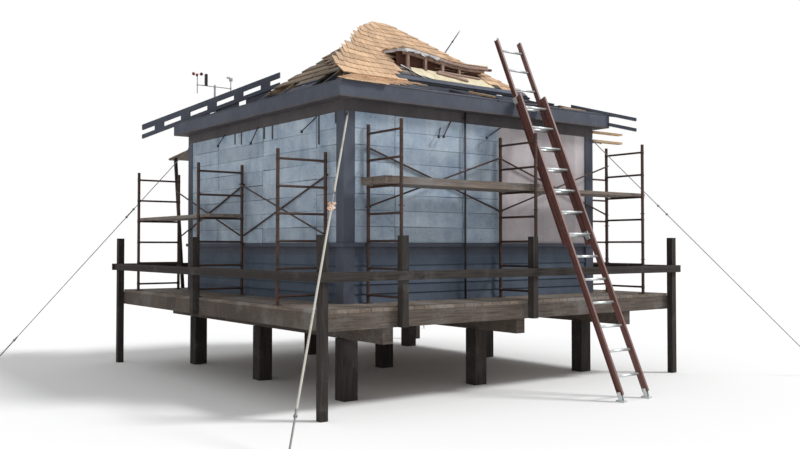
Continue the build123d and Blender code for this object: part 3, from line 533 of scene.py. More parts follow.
def slopeAt(inward):
    if inward < roof["kickReach"]:
        return inward / math.cos(kickAngle)
    return kickLength + (inward - roof["kickReach"]) / math.cos(mainAngle)


# Height of the rafters' upper side at a plan distance in
def rafterZ(inward):
    if inward < roof["kickReach"]:
        return eaveZ + inward * math.tan(kickAngle)
    return breakZ + (inward - roof["kickReach"]) * math.tan(mainAngle)


def overRoof(turn, x, inward, lift):
    return onRoof(turn, x, slopeAt(inward), lift)


# Where an outline of x and plan distance in crosses one distance in
def crossings(outline, inward):
    return sorted((bx - ax) * (inward - ay) / (by - ay) + ax
                  for (ax, ay), (bx, by) in zip(outline, outline[1:] + outline[:1])
                  if (ay > inward) != (by > inward))


# The two hip planes that bound a face, each moved out by a reach
def hipPlanes(turn, reachLeft=0.0, reachRight=0.0):
    planes = []
    for side, reach in ((-1, reachLeft), (1, reachRight)):
        outward = spinBy(turn) @ Vector((side, 1, 0)).normalized()
        planes.append((outward * reach, outward))
    return planes


# An upright plane through two places on a face; what lies past it on the side of the
# eave's right end is cut away
def facePlane(turn, low, high):
    start, end = (spinBy(turn) @ Vector((x, inward - eaveHalf, 0)) for x, inward in (low, high))
    return start, (end - start).cross(upward).normalized()


# Past the near hip the front's cover runs on untrimmed: its edge as plan distance in and
# x, and how its last shingles sweep up and fan out
wild = {"edge": [(0.780, -1.765), (1.050, -1.749), (1.176, -1.600), (1.598, -1.130), (2.010, -0.700),
                 (eaveHalf, -0.170)],
        "sweep": 0.085, "sweepSpan": 0.450, "sweepTop": 1.950, "fan": 0.36, "boardsIn": 0.045}
# The cover's own cut: along the apex, down the two runs of that edge and off its tip
wildCuts = [((1.0, eaveHalf), (-1.0, eaveHalf)), ((-0.215, eaveHalf), (-0.760, 2.010)),
            ((-0.760, 2.010), (-1.810, 1.050)), ((-1.800, 1.050), (-1.800, 0.780))]
# The left face ends on a line along that hip
nearEdge = [(breakHalf - 0.075, 0.630), (-0.075, eaveHalf)]


def wildEdge(inward):
    for (low, first), (high, last) in zip(wild["edge"], wild["edge"][1:]):
        if inward <= high:
            return first + (last - first) * max(0, inward - low) / (high - low)
    return wild["edge"][-1][1]


# Lays a face in two pieces, below and above a height; the upper ones of the front and
# the left face have bounds of their own
def layFace(name, turn, places, split, planes, finish, node, shape, tilt, seed):
    upper = planes
    if turn == 0:
        upper = [hipPlanes(0)[1]] + [facePlane(0, *cut) for cut in wildCuts]
    if turn == 270:
        upper = [planes[0], facePlane(270, *nearEdge)]
    for part, isUpper, clip in (("Kick", False, planes), ("", True, upper)):
        group = [place for place in places if (place[0].z >= split) == isUpper]
        if group:
            layPieces(name + part, group, finish, (node,), shape, tilt, seed=seed, clip=clip)


# Shingles: courses up the kick, then up the main slope, kept where the outline
# holds the middle of their shown part. Outlines are x and plan distance in.
shingles = {"exposure": 0.140, "length": 0.300, "narrow": 0.085, "wide": 0.200, "thickness": 0.024,
            "gap": 0.004, "overhang": 0.040, "raggedReach": 0.050, "tilt": 0.012, "shortest": 0.05,
            "past": 0.03, "seed": 11}
farOut = 2.6
aboveAll = [(farOut, 2.5), (-farOut, 2.5)]
shingleOutlines = {
    "front": [(-farOut, -0.06), (-1.70, -0.06), (-1.424, 0.213), (-0.65, 0.60), (-0.70, 0.78), (-0.89, 0.89),
              (-0.62, 1.01), (-0.65, 1.15), (-0.65, 1.34), (0.894, 1.195), (0.894, 1.15), (0.93, 1.01),
              (1.24, 0.85), (farOut, 0.80), *aboveAll],
    "left": [(farOut, 0.19), (2.14, 0.19), (1.43, 0.59), (1.50, 0.80), (1.20, 0.86), (0.95, 1.12),
             (0.52, 1.20), (0.10, 1.33), (-0.60, 1.73), (-farOut, 1.73), *reversed(aboveAll)],
    "top": [(-farOut, 1.634), (farOut, 1.634), *aboveAll],
}


def shingleCourses():
    for y, end in ((-shingles["overhang"], kickLength), (kickLength, faceLength)):
        while y < end - shingles["shortest"]:
            yield y, end
            y += shingles["exposure"]


def shinglePlaces(turn, outline, ragged, dice):
    places = []
    for start, end in shingleCourses():
        y = max(start + dice.uniform(-0.005, 0.005), kickLength) if start == kickLength else start
        limit = eaveHalf - inwardAt(max(y, 0)) + shingles["past"]
        shown = inwardAt(max(y + shingles["exposure"] / 2, 0))
        edge, along, up, lean = roofAxes(turn, y)
        length = min(shingles["length"], end - y)
        x = -limit - dice.uniform(0, 0.08)
        if ragged:
            x = -(eaveHalf - inwardAt(max(y, 0) + 0.07)) - dice.uniform(0.0, 0.035)
            if start >= kickLength:
                x = wildEdge(shown + 0.07) - dice.uniform(-0.030, 0.030)
        left = x
        while x < limit:
            width = dice.uniform(shingles["narrow"], shingles["wide"])
            middle = x + width / 2
            if sum(middle < crossing for crossing in crossings(outline, shown)) % 2:
                isFirst = start in (kickLength, -shingles["overhang"])
                butt = dice.uniform(0, 0.012) if isFirst else dice.uniform(-0.012, 0.008)
                thickness = shingles["thickness"] * dice.uniform(0.85, 1.0)
                size = (width - shingles["gap"], length - butt, thickness)
                swept = 0
                if ragged and start > kickLength and shown < wild["sweepTop"]:
                    swept = max(0, 1 - (middle - left) / wild["sweepSpan"])
                turned = Matrix.Rotation(-wild["fan"] * swept, 3, lean)
                foot = y + butt + wild["sweep"] * swept * swept
                places.append((edge + along * middle + up * foot + lean * roof["lath"],
                               frameTurn(turned @ along, turned @ up), size, turned @ up))
            x += width
    return places


dice = random.Random(shingles["seed"])
for name, turn, outline, finish, node, seed in (
    ("Front", 0, "front", "cedarShingle", "shingles_front", 3),
    ("Right", 90, "top", "cedarShingle", "shingles_upper", 4),
    ("Back", 180, "top", "cedarShingle", "shingles_upper", 5),
    ("Left", 270, "left", "oldShadedShingle", "shingles_upper", 6),
):
    places = shinglePlaces(turn, shingleOutlines[outline], turn == 0, dice)
    split = breakZ - (0.190 if turn == 270 else 0.001) + roof["lath"]
    planes = hipPlanes(turn, shingles["raggedReach"] if turn == 0 else 0)
    layFace("shingles" + name, turn, places, split, planes, finish, node, wedgeShape,
            shingles["tilt"], seed)
print("shingles laid")

# Roof boards: the same courses as the frame, broken into lengths. Openings are outlines
# of x and plan distance in. The brow's studs stand on the strip.
roofBoards = {"pitch": 0.195, "width": 0.140, "kickCourses": 4, "upperFirst": 0.035, "upperCourses": 10,
              "prong": 0.56, "prongIn": 0.10, "slot": 0.024, "shortest": 0.05, "joint": 0.004,
              "past": 0.08, "tilt": 0.004, "seed": 23}
browStrip = {"inward": 1.134, "middle": 0.122, "length": 1.544, "width": 0.040}
browCut = [(-0.65, 1.15), (-0.65, 1.34), (0.894, 1.195), (0.894, 1.15)]


def cutBetween(left, right, low, high):
    return [(left, low), (left, high), (right, high), (right, low)]


boardCuts = {
    0: [browCut, cutBetween(-0.85, 2.4, 0.153, 0.78)],
    90: [cutBetween(-2.5, -2.119, -0.1, 0.195)],
    180: [cutBetween(0.30, 2.4, 0.25, 1.15)],
    270: [cutBetween(-2.4, -0.30, 0.25, 1.15), [(0.42, 0.84), (0.36, 1.02), (1.10, 1.02), (1.24, 0.84)]],
}


def boardRuns(turn, y):
    inward = inwardAt(y)
    limit = eaveHalf - inward + roofBoards["past"]
    runs = [(-limit, limit)]
    if turn == 0 and y > kickLength:
        runs = [(wildEdge(inward) + wild["boardsIn"], limit)]
    for outline in boardCuts[turn]:
        span = crossings(outline, inward)
        if span:
            runs = [(max(low, a), min(high, b))
                    for low, high in runs for a, b in ((-9, span[0]), (span[1], 9))]
            runs = [(low, high) for low, high in runs if high - low > roofBoards["shortest"]]
    return runs


dice = random.Random(roofBoards["seed"])
courseMiddles = [first + (n * roofBoards["pitch"] + roofBoards["width"] / 2)
                 for first, count in ((0, roofBoards["kickCourses"]),
                                      (kickLength + roofBoards["upperFirst"], roofBoards["upperCourses"]))
                 for n in range(count)]
for name, turn, slotLeft, slotRight in (
    ("Front", 0, 0, 0), ("Right", 90, 0, 0), ("Back", 180, 0, -roofBoards["slot"]),
    ("Left", 270, -roofBoards["slot"], 0),
):
    places = []
    for y in courseMiddles:
        edge, along, up, lean = roofAxes(turn, y)
        for start, high in boardRuns(turn, y):
            while start < high - roofBoards["shortest"]:
                end = min(high, start + dice.uniform(1.1, 2.6))
                if high - end < 0.3:
                    end = high
                ragged = dice.uniform(0, 0.03) if end < high else 0
                middle = onRoof(turn, (start + end - ragged) / 2, y, roof["lath"] / 2)
                size = (end - start - ragged, roofBoards["width"] * dice.uniform(0.90, 1.0), roof["lath"])
                places.append(boxPlace(middle, along, up, size))
                start = end + roofBoards["joint"]
    if turn == 0:
        y = slopeAt(browStrip["inward"])
        edge, along, up, lean = roofAxes(0, y)
        middle = onRoof(0, browStrip["middle"], y, roof["lath"] / 2)
        places.append(boxPlace(middle, along, up, (browStrip["length"], browStrip["width"], roof["lath"])))
    layFace("roofBoards" + name, turn, places, breakZ, hipPlanes(turn, slotLeft, slotRight), "weatheredBoard",
            "roof_boards_" + name.lower(), boardShape, roofBoards["tilt"], turn + 5)
prongStart = eaveHalf - roofBoards["prongIn"]
prongEnd = eaveHalf + roofBoards["prong"]
middle = onRoof(0, (prongStart + prongEnd) / 2, roofBoards["width"] / 2, roof["lath"] / 2)
size = (prongEnd - prongStart, roofBoards["width"], roof["lath"])
layPieces("eaveProng", [boxPlace(middle, sideways, roofAxes(0, 0)[2], size)], "slateBoardPaint")
print("roof boards laid")

# The brow: shingles over the hood, a torn felt lip, underlay and loose boards
brow = {"front": 1.112, "left": -0.60, "right": 0.95, "courses": 4, "exposure": 0.125, "seed": 31,
        "rises": [(-0.70, 0.250), (-0.35, 0.230), (-0.05, 0.193), (0.31, 0.149), (0.58, 0.136), (1.0, 0.150)]}
browBase = rafterZ(brow["front"]) + roof["cover"] / math.cos(mainAngle)


def browRise(x):
    for (ax, az), (bx, bz) in zip(brow["rises"], brow["rises"][1:]):
        if ax <= x <= bx:
            fall = (bz - az) / (bx - ax)
            return az + fall * (x - ax), fall
    return brow["rises"][-1][1], 0.0


dice = random.Random(brow["seed"])
places = []
for course in range(brow["courses"]):
    inward = brow["front"] - 0.030 + course * brow["exposure"]
    x = brow["left"] - 0.3 * max(0, inward - brow["front"]) - dice.uniform(0, 0.04)
    while x < brow["right"]:
        width = dice.uniform(shingles["narrow"], shingles["wide"])
        middle = x + width / 2
        rise, fall = browRise(middle)
        dying = brow["front"] + rise / math.tan(mainAngle)
        length = min(shingles["length"], dying + 0.03 - inward)
        if length > 0.06:
            foot = Vector((middle, inward - eaveHalf, browBase + rise))
            size = (width - shingles["gap"], length, shingles["thickness"])
            places.append((foot, frameTurn(Vector((1, 0, fall)).normalized(), backward), size, backward))
        x += width
layPieces("shinglesBrow", places, "cedarShingle", (), wedgeShape, tilt=0.015, seed=8)

# The lip goes up the brow's left side and along its front: felt on the left part, a
# bare board edge on the right
lip = {"frontX": -0.53, "frontY": -1.243, "step": 0.028, "steps": 54, "sideEnd": -1.2, "feltEnd": 0.06,
       "edgeStart": 0.01, "thinFrom": 0.1, "thin": 0.75}
lipPath = [(-0.680, -0.880), (-0.655, -0.960), (-0.625, -1.060), (-0.590, -1.160), (-0.560, -1.235)]
lipPath += [(lip["frontX"] + lip["step"] * n, lip["frontY"]) for n in range(lip["steps"])]
rows = []
edgeRows = []
for x, y in lipPath:
    back, out = Vector((0, 0.09, 0)), Vector((0, -0.012, 0))
    if y > lip["sideEnd"]:
        back, out = Vector((0.06, 0.02, 0)), Vector((-0.012, -0.004, 0))
    drop = dice.uniform(0.030, 0.060) * (1.0 if x < lip["thinFrom"] else lip["thin"])
    edge = Vector((x, y, browBase + browRise(x)[0] + 0.004))
    if x < lip["feltEnd"]:
        rows.append([edge + back + upward * 0.004, edge + upward * dice.uniform(0.002, 0.012),
                     edge + out - upward * (drop * 0.5), edge + out * dice.uniform(0.3, 1.4) - upward * drop])
    if x > lip["edgeStart"]:
        edgeRows.append([edge + back, edge + upward * 0.003, edge + out - upward * 0.020,
                         edge + out - upward * (0.038 + dice.uniform(0, 0.006))])
sheetPiece("browFelt", rows, 0.004, "tornFelt")
sheetPiece("browEdge", edgeRows, 0.006, "pinkBoard")

# A dark board lining stands behind the brow's studs
lining = {"y": -1.128, "drop": 0.030, "thickness": 0.012}
rows = [[Vector((x, lining["y"], top - lining["drop"]))
         for top in (rafterZ(eaveHalf + lining["y"]), browBase + browRise(x)[0])]
        for x in (-0.62, -0.35, -0.05, 0.31, 0.58, 0.93)]
sheetPiece("browLining", rows, lining["thickness"], "redBoard")

# Each underlay column runs from a lower to an upper place, x and plan distance in
underlay = [((-0.47, 1.02), (-0.425, 1.166)), ((-0.30, 0.965), (-0.22, 1.160)),
            ((-0.117, 0.912), (-0.018, 1.155)),
            ((0.25, 0.906), (0.27, 1.150)), ((0.60, 0.90), (0.56, 1.148)), ((0.969, 0.897), (0.86, 1.145))]
quarters = (0, 0.25, 0.5, 0.75, 1)
rows = [[overRoof(0, lx + (ux - lx) * s, ly + (uy - ly) * s, 0.023 + dice.uniform(0, 0.006))
         for s in quarters]
        for (lx, ly), (ux, uy) in underlay]
sheetPiece("browUnderlay", rows, 0.003, "paleUnderlay")
for name, path, width in (
    ("browTornLeft", [(-0.60, 1.17), (-0.52, 1.09), (-0.45, 1.01), (-0.36, 0.94)], 0.085),
    ("browTornRight", [(0.88, 1.15), (0.97, 1.06), (1.06, 0.97), (1.17, 0.90)], 0.075),
):
    rows = []
    for x, inward in path:
        reach = width * dice.uniform(0.7, 1.2)
        rows.append([overRoof(0, x + reach * s, inward + 0.3 * reach * s,
                              0.026 + 0.012 * math.sin(3 * s + x * 9)) for s in (0, 0.33, 0.66, 1)])
    sheetPiece(name, rows, 0.003, "tornFelt")


# A board flat on the roof between two places given as x and plan distance in
def roofBar(turn, start, end, width, depth, lift):
    first, last = (overRoof(turn, *place, lift + depth / 2) for place in (start, end))
    lean = roofAxes(turn, slopeAt((start[1] + end[1]) / 2))[3]
    along = (last - first).normalized()
    size = ((last - first).length, width, depth)
    return boxPlace((first + last) / 2, along, lean.cross(along).normalized(), size)


layPieces("browLooseBoards", [
    roofBar(0, (-0.009, 1.10), (0.469, 1.00), 0.060, 0.020, 0.032),
    roofBar(0, (0.05, 1.135), (0.80, 1.105), 0.035, 0.018, 0.032),
], "pinkBoard")
browEnd = bar((0.80, -1.205, browBase + 0.118), (1.045, -1.215, browBase + 0.128), 0.030, 0.045)
layPieces("browRightEnd", [browEnd], "redBoard")
layPieces("lipBoard", [
    roofBar(0, (-0.89, 0.862), (0.45, 0.862), 0.115, 0.024, 0.020),
    roofBar(0, (0.454, 0.858), (1.470, 0.862), 0.112, 0.024, 0.020),
], "slateBoardPaint", tilt=0.004, seed=17)
layPieces("loosePlanks", [
    roofBar(0, (0.204, 0.667), (0.448, 0.402), 0.070, 0.022, 0.001),
    roofBar(0, (1.57, 0.215), (2.06, 0.235), 0.085, 0.020, 0.001),
    roofBar(270, (-0.36, 0.34), (-0.98, 0.42), 0.110, 0.022, 0.001),
    roofBar(270, (-1.02, 0.60), (-1.60, 0.52), 0.100, 0.022, 0.001),
], "freshPlank", tilt=0.004, seed=19)

# Slate blocking between the rafters, up under the lip board and along the left face
blocks = {"pitch": 0.610, "rafter": 0.038, "count": 3, "height": 0.140, "thickness": 0.022, "drop": 0.070,
          "lift": -0.004, "shortest": 0.15}
rafterPlaces = [n * blocks["pitch"] for n in range(-blocks["count"], blocks["count"] + 1)]
blocking = []
for turn, inward, low, high in ((0, 0.800, -0.85, 1.50), (270, 0.640, -1.60, 1.60)):
    along = roofAxes(turn, slopeAt(inward))[1]
    stops = [low, *[place for place in rafterPlaces if low < place < high], high]
    for start, end in zip(stops, stops[1:]):
        if end - start > blocks["shortest"]:
            middle = overRoof(turn, (start + end) / 2, inward, blocks["lift"]) - upward * blocks["drop"]
            size = (end - start - blocks["rafter"], blocks["height"], blocks["thickness"])
            blocking.append(boxPlace(middle, along, upward, size))
layPieces("rafterBlocking", blocking, "slateBoardPaint", tilt=0.003, seed=21)

# A black sheet under the rafters paints the shade in the left face's opening
shadowSheet = {"left": -0.25, "hipGap": 0.030, "lift": -0.095, "rows": (0.665, 0.780, 0.950, 1.200, 1.500)}
rows = []
for inward in shadowSheet["rows"]:
    reach = eaveHalf - inward - shadowSheet["hipGap"] - shadowSheet["left"]
    rows.append([overRoof(270, shadowSheet["left"] + reach * share, inward,
                          shadowSheet["lift"] + dice.uniform(-0.006, 0.002)) for share in quarters])
# Painted shade: this black sheet stands for the shadow inside the left face's opening
sheetPiece("leftPaper", rows, 0.003, "blackShadeSheet")

# The far hip's pair stands off the kick: boards close most of the space under it
pair = {"head": 1.140, "fall": 0.49, "thickness": 0.024, "steps": 3, "lap": 0.010,
        "runs": ((1.24, 1.52), (1.60, 1.86), (1.93, 2.20))}
for index, (start, end) in enumerate(pair["runs"]):
    rows = []
    for step in range(pair["steps"] + 1):
        out = start + (end - start) * step / pair["steps"]
        low = rafterZ(eaveHalf - out)
        high = rafterZ(eaveHalf - pair["head"]) - pair["fall"] * (out - pair["head"])
        rows.append([Vector((-out, out, z)) for z in (low - pair["lap"], max(high, low) + pair["lap"])])
    sheetPiece("pairInfill%d" % (index + 1), rows, pair["thickness"], "slateBoardPaint")
print("brow made")

# Shutters: level boards over a thin dark sheet that paints the shade in the gaps between them, with nails
# along their edges
shutters = {"boards": 8, "gap": 0.005, "thickness": 0.022, "gapShadeSheet": 0.006, "margin": 0.004, "nail": 0.009,
            "nailIn": 0.045, "nailSpread": 0.05, "seed": 37}
shutterRows = {
    "shutters_front": (sideways, Vector((0, -1, 0)), (-cornerIn, -1.42, -0.33, 0.29)),
    "shutters_left": (backward, Vector((-1, 0, 0)), (-cornerIn, -1.57, -0.22, 1.13, cornerIn)),
    "shutters_right": (backward, sideways, (-cornerIn, -cornerIn / 2, 0, cornerIn / 2, cornerIn)),
    "shutters_back": (sideways, backward, (-cornerIn / 2, 0, cornerIn / 2, cornerIn)),
}
boardRise = (shutterTop - sillTop) / shutters["boards"]
shutterFace = shutters["gapShadeSheet"] + shutters["thickness"]
nails = []
dice = random.Random(shutters["seed"])
for node, (along, outward, edges) in shutterRows.items():
    places = []
    gapShadeSheet = []
    for start, end in zip(edges, edges[1:]):
        width = end - start - 2 * shutters["margin"]
        nailReach = width / 2 - shutters["nailIn"]
        base = along * ((start + end) / 2) + outward * half
        for board in range(shutters["boards"]):
            z = sillTop + (board + 0.5) * boardRise
            middle = base + outward * (shutterFace - shutters["thickness"] / 2) + upward * z
            size = (width, boardRise - shutters["gap"], shutters["thickness"])
            places.append(boxPlace(middle, along, upward, size))
            for reach in (-nailReach, 0, nailReach):
                for shift in (-shutters["nailSpread"], shutters["nailSpread"]):
                    spot = base + along * (reach + dice.uniform(-0.008, 0.008)) + upward * (z + shift)
                    face = spot + outward * shutterFace
                    nails.append(bar(face - outward * 0.004, face + outward * 0.0015, shutters["nail"],
                                     shutters["nail"]))
        # A thin dark sheet behind each shutter: painted shade seen through the gaps between boards
        middle = base + outward * (shutters["gapShadeSheet"] / 2) + upward * ((sillTop + shutterTop) / 2)
        gapShadeSheet.append(boxPlace(middle, along, upward, (width, shutterTop - sillTop, shutters["gapShadeSheet"])))
    name = "shutterBoards" + node.split("_")[1].capitalize()
    layPieces(name, places, "shutterPaint", (node,), tilt=0.005, swell=0.008, seed=7)
    layPieces(name + "Backing", gapShadeSheet, "slatePaint")
layPieces("shutterNails", nails, "darkSteel", (), rodShape)

# The raised back shutter: boards over battens, at the frame's fall
raised = {"drop": 6, "length": 1.200, "thickness": 0.030, "boards": 8, "board": 0.018, "gap": 0.005,
          "hingeGap": 0.012, "batten": 0.012, "battenLength": 1.180, "battenWidth": 0.080, "battenIn": 0.045}
raisedLow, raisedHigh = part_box("raised_shutter")
fall = math.radians(raised["drop"])
down = Vector((0, math.cos(fall), -math.sin(fall)))
lean = Vector((0, math.sin(fall), math.cos(fall)))
raisedWidth = raisedHigh.x - raisedLow.x
hinge = Vector(((raisedLow.x + raisedHigh.x) / 2, half, shutterTop - raised["thickness"]))
boardLength = (raised["length"] - raised["hingeGap"]) / raised["boards"]
size = (raisedWidth, boardLength - raised["gap"], raised["board"])
first = hinge + lean * (raised["batten"] + raised["board"] / 2)
places = [boxPlace(first + down * (raised["hingeGap"] + (n + 0.5) * boardLength), Vector((-1, 0, 0)), down,
                   size)
          for n in range(raised["boards"])]
layPieces("raisedShutterBoards", places, "raisedShutterPaint", ("raised_shutter",),
          tilt=0.004, seed=41)
size = (raised["battenLength"], raised["battenWidth"], raised["batten"])
middle = hinge + down * ((raised["length"] + raised["hingeGap"]) / 2) + lean * (raised["batten"] / 2)
reach = raisedWidth / 2 - raised["battenIn"]
places = [boxPlace(middle + sideways * shift, down, sideways, size) for shift in (-reach, 0, reach)]
layPieces("raisedShutterBattens", places, "raisedShutterPaint", seed=42)

# Window bars: one upright and two cross bars in each opening
muntins = {"columns": 5, "post": 0.080, "head": 0.120, "width": 0.022, "depth": 0.032, "inset": 0.055,
           "wall": 0.110}
windowLow = sillTop + muntins["post"] / 2
windowRise = shutterTop - sillTop - muntins["head"]
places = []


def windowBar(spin, left, right, low, high, depth, up):
    ends = [spin @ Vector((x, muntins["inset"] - half, z)) for x, z in ((left, low), (right, high))]
    places.append(bar(*ends, muntins["width"], depth, up))


for turn in (0, 90, 180, 270):
    spin = spinBy(turn)
    span = 2 * half if turn in (0, 180) else 2 * (half - muntins["wall"])
    pane = (span - (muntins["columns"] + 1) * muntins["post"]) / muntins["columns"]
    for column in range(muntins["columns"]):
        x = (column - (muntins["columns"] - 1) / 2) * (pane + muntins["post"])
        windowBar(spin, x, x, windowLow, windowLow + windowRise, muntins["depth"], spin @ sideways)
        for share in (1 / 3, 2 / 3):
            z = windowLow + windowRise * share
            windowBar(spin, x - pane / 2, x + pane / 2, z, z, muntins["depth"] - 0.002, upward)
layPieces("windowBars", places, "frameTimber", (), seed=43)
print("shutters made")

# Iron on the walls: hooks and strap bars where the photograph shows them
wallFace = half + shutterFace
hooks = [
    ((-wallFace, 0.909, 3.404), (-2.235, 0.988, 3.243)),
    ((-wallFace, -0.089, 3.414), (-2.235, -0.012, 3.190)),
    ((-wallFace, -1.569, 3.371), (-2.235, -1.340, 3.212)),
    ((-0.537, -wallFace, 3.378), (-0.713, -2.235, 3.177)),
    ((-0.705, -wallFace, 3.288), (-0.795, -2.235, 3.170)),
    ((0.333, -wallFace, 3.370), (0.017, -2.235, 3.215)),
]
places = [bar(start, end, 0.014, 0.014) for start, end in hooks]
places += [bar(Vector(end) - upward * 0.022, Vector(end) + upward * 0.012, 0.032, 0.032, sideways)
           for start, end in hooks]
layPieces("shutterHooks", places, "darkSteel", (), rodShape)
strap = {"width": 0.028, "thickness": 0.006,
         "spans": [(0.595, 3.23, 3.43), (0.400, 3.21, 3.41), (-0.255, 3.226, 3.415), (-0.478, 3.20, 3.39),
                   (-1.622, 3.028, 3.404), (-1.993, 3.241, 3.408)]}
x = -wallFace - strap["thickness"] / 2
places = [bar((x, y, low), (x, y, min(high, shutterTop)), strap["width"], strap["thickness"], backward)
          for y, low, high in strap["spans"]]
layPieces("strapBars", places, "darkSteel")
pipe = {"x": -0.33, "y": -2.206, "clamp": 3.44, "width": 0.026, "clampWidth": 0.020, "footWidth": 0.034}


def pipeBar(startY, startZ, endZ, width, up=upward):
    return bar((pipe["x"], startY, startZ), (pipe["x"], pipe["y"], endZ), width, width, up)


layPieces("wallPipe", [pipeBar(pipe["y"], deckTop, soffitZ, pipe["width"], sideways),
                       pipeBar(-cornerOut, pipe["clamp"], pipe["clamp"], pipe["clampWidth"]),
                       pipeBar(-sillHigh.x + 0.005, sillTop - 0.02, sillTop - 0.02, pipe["footWidth"])],
          "darkSteel", (), rodShape)
endY = -2.145
layPieces("cornerBoardEnds", [bar((cornerOut, endY, z), (2.81, endY, z), width, 0.090)
                              for z, width in ((3.463, 0.026), (3.335, 0.030))],
          "freshPlank", seed=44)
layPieces("cornerHook", [bar((cornerOut, endY, 3.306), (2.37, endY, 3.312), 0.014, 0.014),
                         bar((2.37, endY, 3.300), (2.37, endY, 3.320), 0.026, 0.026, sideways)],
          "galvanisedPole", (), rodShape)

# Siding under the sill: bevelled boards that lap downwards
siding = {"exposure": 0.111, "rise": 0.125, "thickness": 0.022}
places = []
for turn in (0, 90, 180, 270):
    along = spinBy(turn) @ sideways
    for row in range(int((sillLow.z - deckTop) / siding["exposure"])):
        z = deckTop + row * siding["exposure"]
        size = (2 * cornerIn, min(siding["rise"], sillLow.z - z), siding["thickness"])
        places.append((spinBy(turn) @ Vector((0, -half, z)), frameTurn(along, upward), size, along))
layPieces("sidingBoards", places, "sidingPaint", (), wedgeShape, seed=9)

# Deck boards run front to back with open joints: full length beside the cab, short
# before and behind it
deckBoards = {"pitch": 0.1475, "gap": 0.006, "thickness": deckHigh.z - deckLow.z}
places = []


def deckBoard(x, y, length, width):
    centre = Vector((x, y, deckTop - deckBoards["thickness"] / 2))
    size = (length, width - deckBoards["gap"], deckBoards["thickness"])
    places.append(boxPlace(centre, backward, Vector((-1, 0, 0)), size))


sideCount = round((deckHalf - half) / deckBoards["pitch"])
sidePitch = (deckHalf - half) / sideCount
frontCount = round(2 * half / deckBoards["pitch"])
frontPitch = 2 * half / frontCount
for side in (-1, 1):
    for board in range(sideCount):
        deckBoard(side * (half + (board + 0.5) * sidePitch), 0, 2 * deckHalf, sidePitch)
for side in (-1, 1):
    for board in range(frontCount):
        x = -half + (board + 0.5) * frontPitch
        deckBoard(x, side * (half + deckHalf) / 2, deckHalf - half, frontPitch)
layPieces("deckBoards", places, "deckBoard", ("deck_planking",), seed=13)
print("deck and siding laid")

# Scaffold: sleeves where rungs meet posts, brace pins, planks
scaffold = {"near": half + 0.080, "width": 0.640, "places": (-1.85, 0.28, 2.41), "firstRung": 0.100,
            "rungPitch": 0.315, "sleeve": 0.046, "pinHeights": (0.42, 0.98), "pinReach": 0.042, "pin": 0.012,
            "frontTaller": 1.15, "plankWidth": 0.235, "plankThick": 0.044, "plankGap": 0.005,
            "rungTop": 0.014}
rungCounts = {0: 7, 90: 6, 270: 6}
frameMatrix = {0: spinBy(0), 90: spinBy(90), 270: Matrix.Diagonal((-1, 1, 1)) @ spinBy(90)}
sleeves = []
pins = []
planks = []


def rungZ(rung):
    return deckTop + scaffold["firstRung"] + rung * scaffold["rungPitch"]


for turn, count in rungCounts.items():
    spin = frameMatrix[turn]
    for place in scaffold["places"]:
        for row in (scaffold["near"], scaffold["near"] + scaffold["width"]):
            for rung in range(count):
                start, end = (spin @ Vector((place, -row, rungZ(rung) + side * scaffold["sleeve"] / 2))
                              for side in (-1, 1))
                sleeves.append(bar(start, end, scaffold["sleeve"], scaffold["sleeve"], sideways))
            for height in scaffold["pinHeights"]:
                z = deckTop + height * (scaffold["frontTaller"] if turn == 0 else 1)
                for side in (-1, 1):
                    start, end = (spin @ Vector((place + reach, -row, z))
                                  for reach in (0, side * scaffold["pinReach"]))
                    pins.append(bar(start, end, scaffold["pin"], scaffold["pin"]))
layPieces("scaffoldSleeves", sleeves, "scaffoldSteel", (), rodShape)
layPieces("scaffoldPins", pins, "scaffoldSteel", (), rodShape)

for turn, first, last, rung, layer in ((0, -2.01, 2.57, 4, 0), (0, -2.01, 0.44, 4, 1), (90, 0.12, 2.57, 3, 0),
                                       (270, 0.12, 2.57, 3, 0)):
    z = rungZ(rung) + scaffold["rungTop"] + (layer + 0.5) * scaffold["plankThick"]
    for side in (-1, 1):
        row = scaffold["near"] + scaffold["width"] / 2
        row += side * (scaffold["plankWidth"] + scaffold["plankGap"]) / 2
        start, end = (frameMatrix[turn] @ Vector((x, -row, z)) for x in (first, last))
        across = (end - start).normalized().cross(upward)
        planks.append(bar(start, end, scaffold["plankWidth"] - 0.004, scaffold["plankThick"] - 0.001, across))
layPieces("scaffoldPlanks", planks, "scaffoldPlank", ("scaffold_planks",), seed=51)
print("scaffold finished")

# Ladder: channel rails, round rungs, feet, guides and rung locks
ladder = {"x": 0.650, "restY": -eaveHalf - 0.00618, "restZ": eaveZ + 0.01902, "footReach": 1.640,
          "rail": 0.030, "web": 0.006, "rungPitch": 0.305, "rung": 0.032}
fly = {"width": 0.460, "low": 1.970, "top": 5.020, "depth": 0.065, "lift": 0, "firstRung": 2.100}
base = {"width": 0.490, "low": 0.035, "top": 4.100, "depth": 0.080, "lift": 0.065, "firstRung": 0.260}
ladderAngle = math.atan2(ladder["restZ"], ladder["footReach"])
ladderUp = Vector((0, math.cos(ladderAngle), math.sin(ladderAngle)))
ladderOut = Vector((0, -math.sin(ladderAngle), math.cos(ladderAngle)))
ladderFoot = Vector((ladder["x"], ladder["restY"] - ladder["footReach"], 0))


def onLadder(x, reach, lift):
    return ladderFoot + sideways * x + ladderUp * reach + ladderOut * lift


def ladderBar(x, low, high, lift, width, depth, up=ladderOut):
    return bar(onLadder(x, low, lift), onLadder(x, high, lift), width, depth, up)


# A rail is a channel: a web on the rung side and two flanges turned outwards
def railBars(side, section):
    outer = side * section["width"] / 2
    depth, lift, span = section["depth"], section["lift"], (section["low"], section["top"])
    web = outer - side * (ladder["rail"] - ladder["web"] / 2)
    bars = [ladderBar(web, *span, lift + depth / 2, depth, ladder["web"])]
    for edge in (ladder["web"] / 2, depth - ladder["web"] / 2):
        bars.append(ladderBar(outer - side * (ladder["rail"] / 2), *span, lift + edge, ladder["rail"],
                              ladder["web"] - 0.0002, sideways))
    return bars


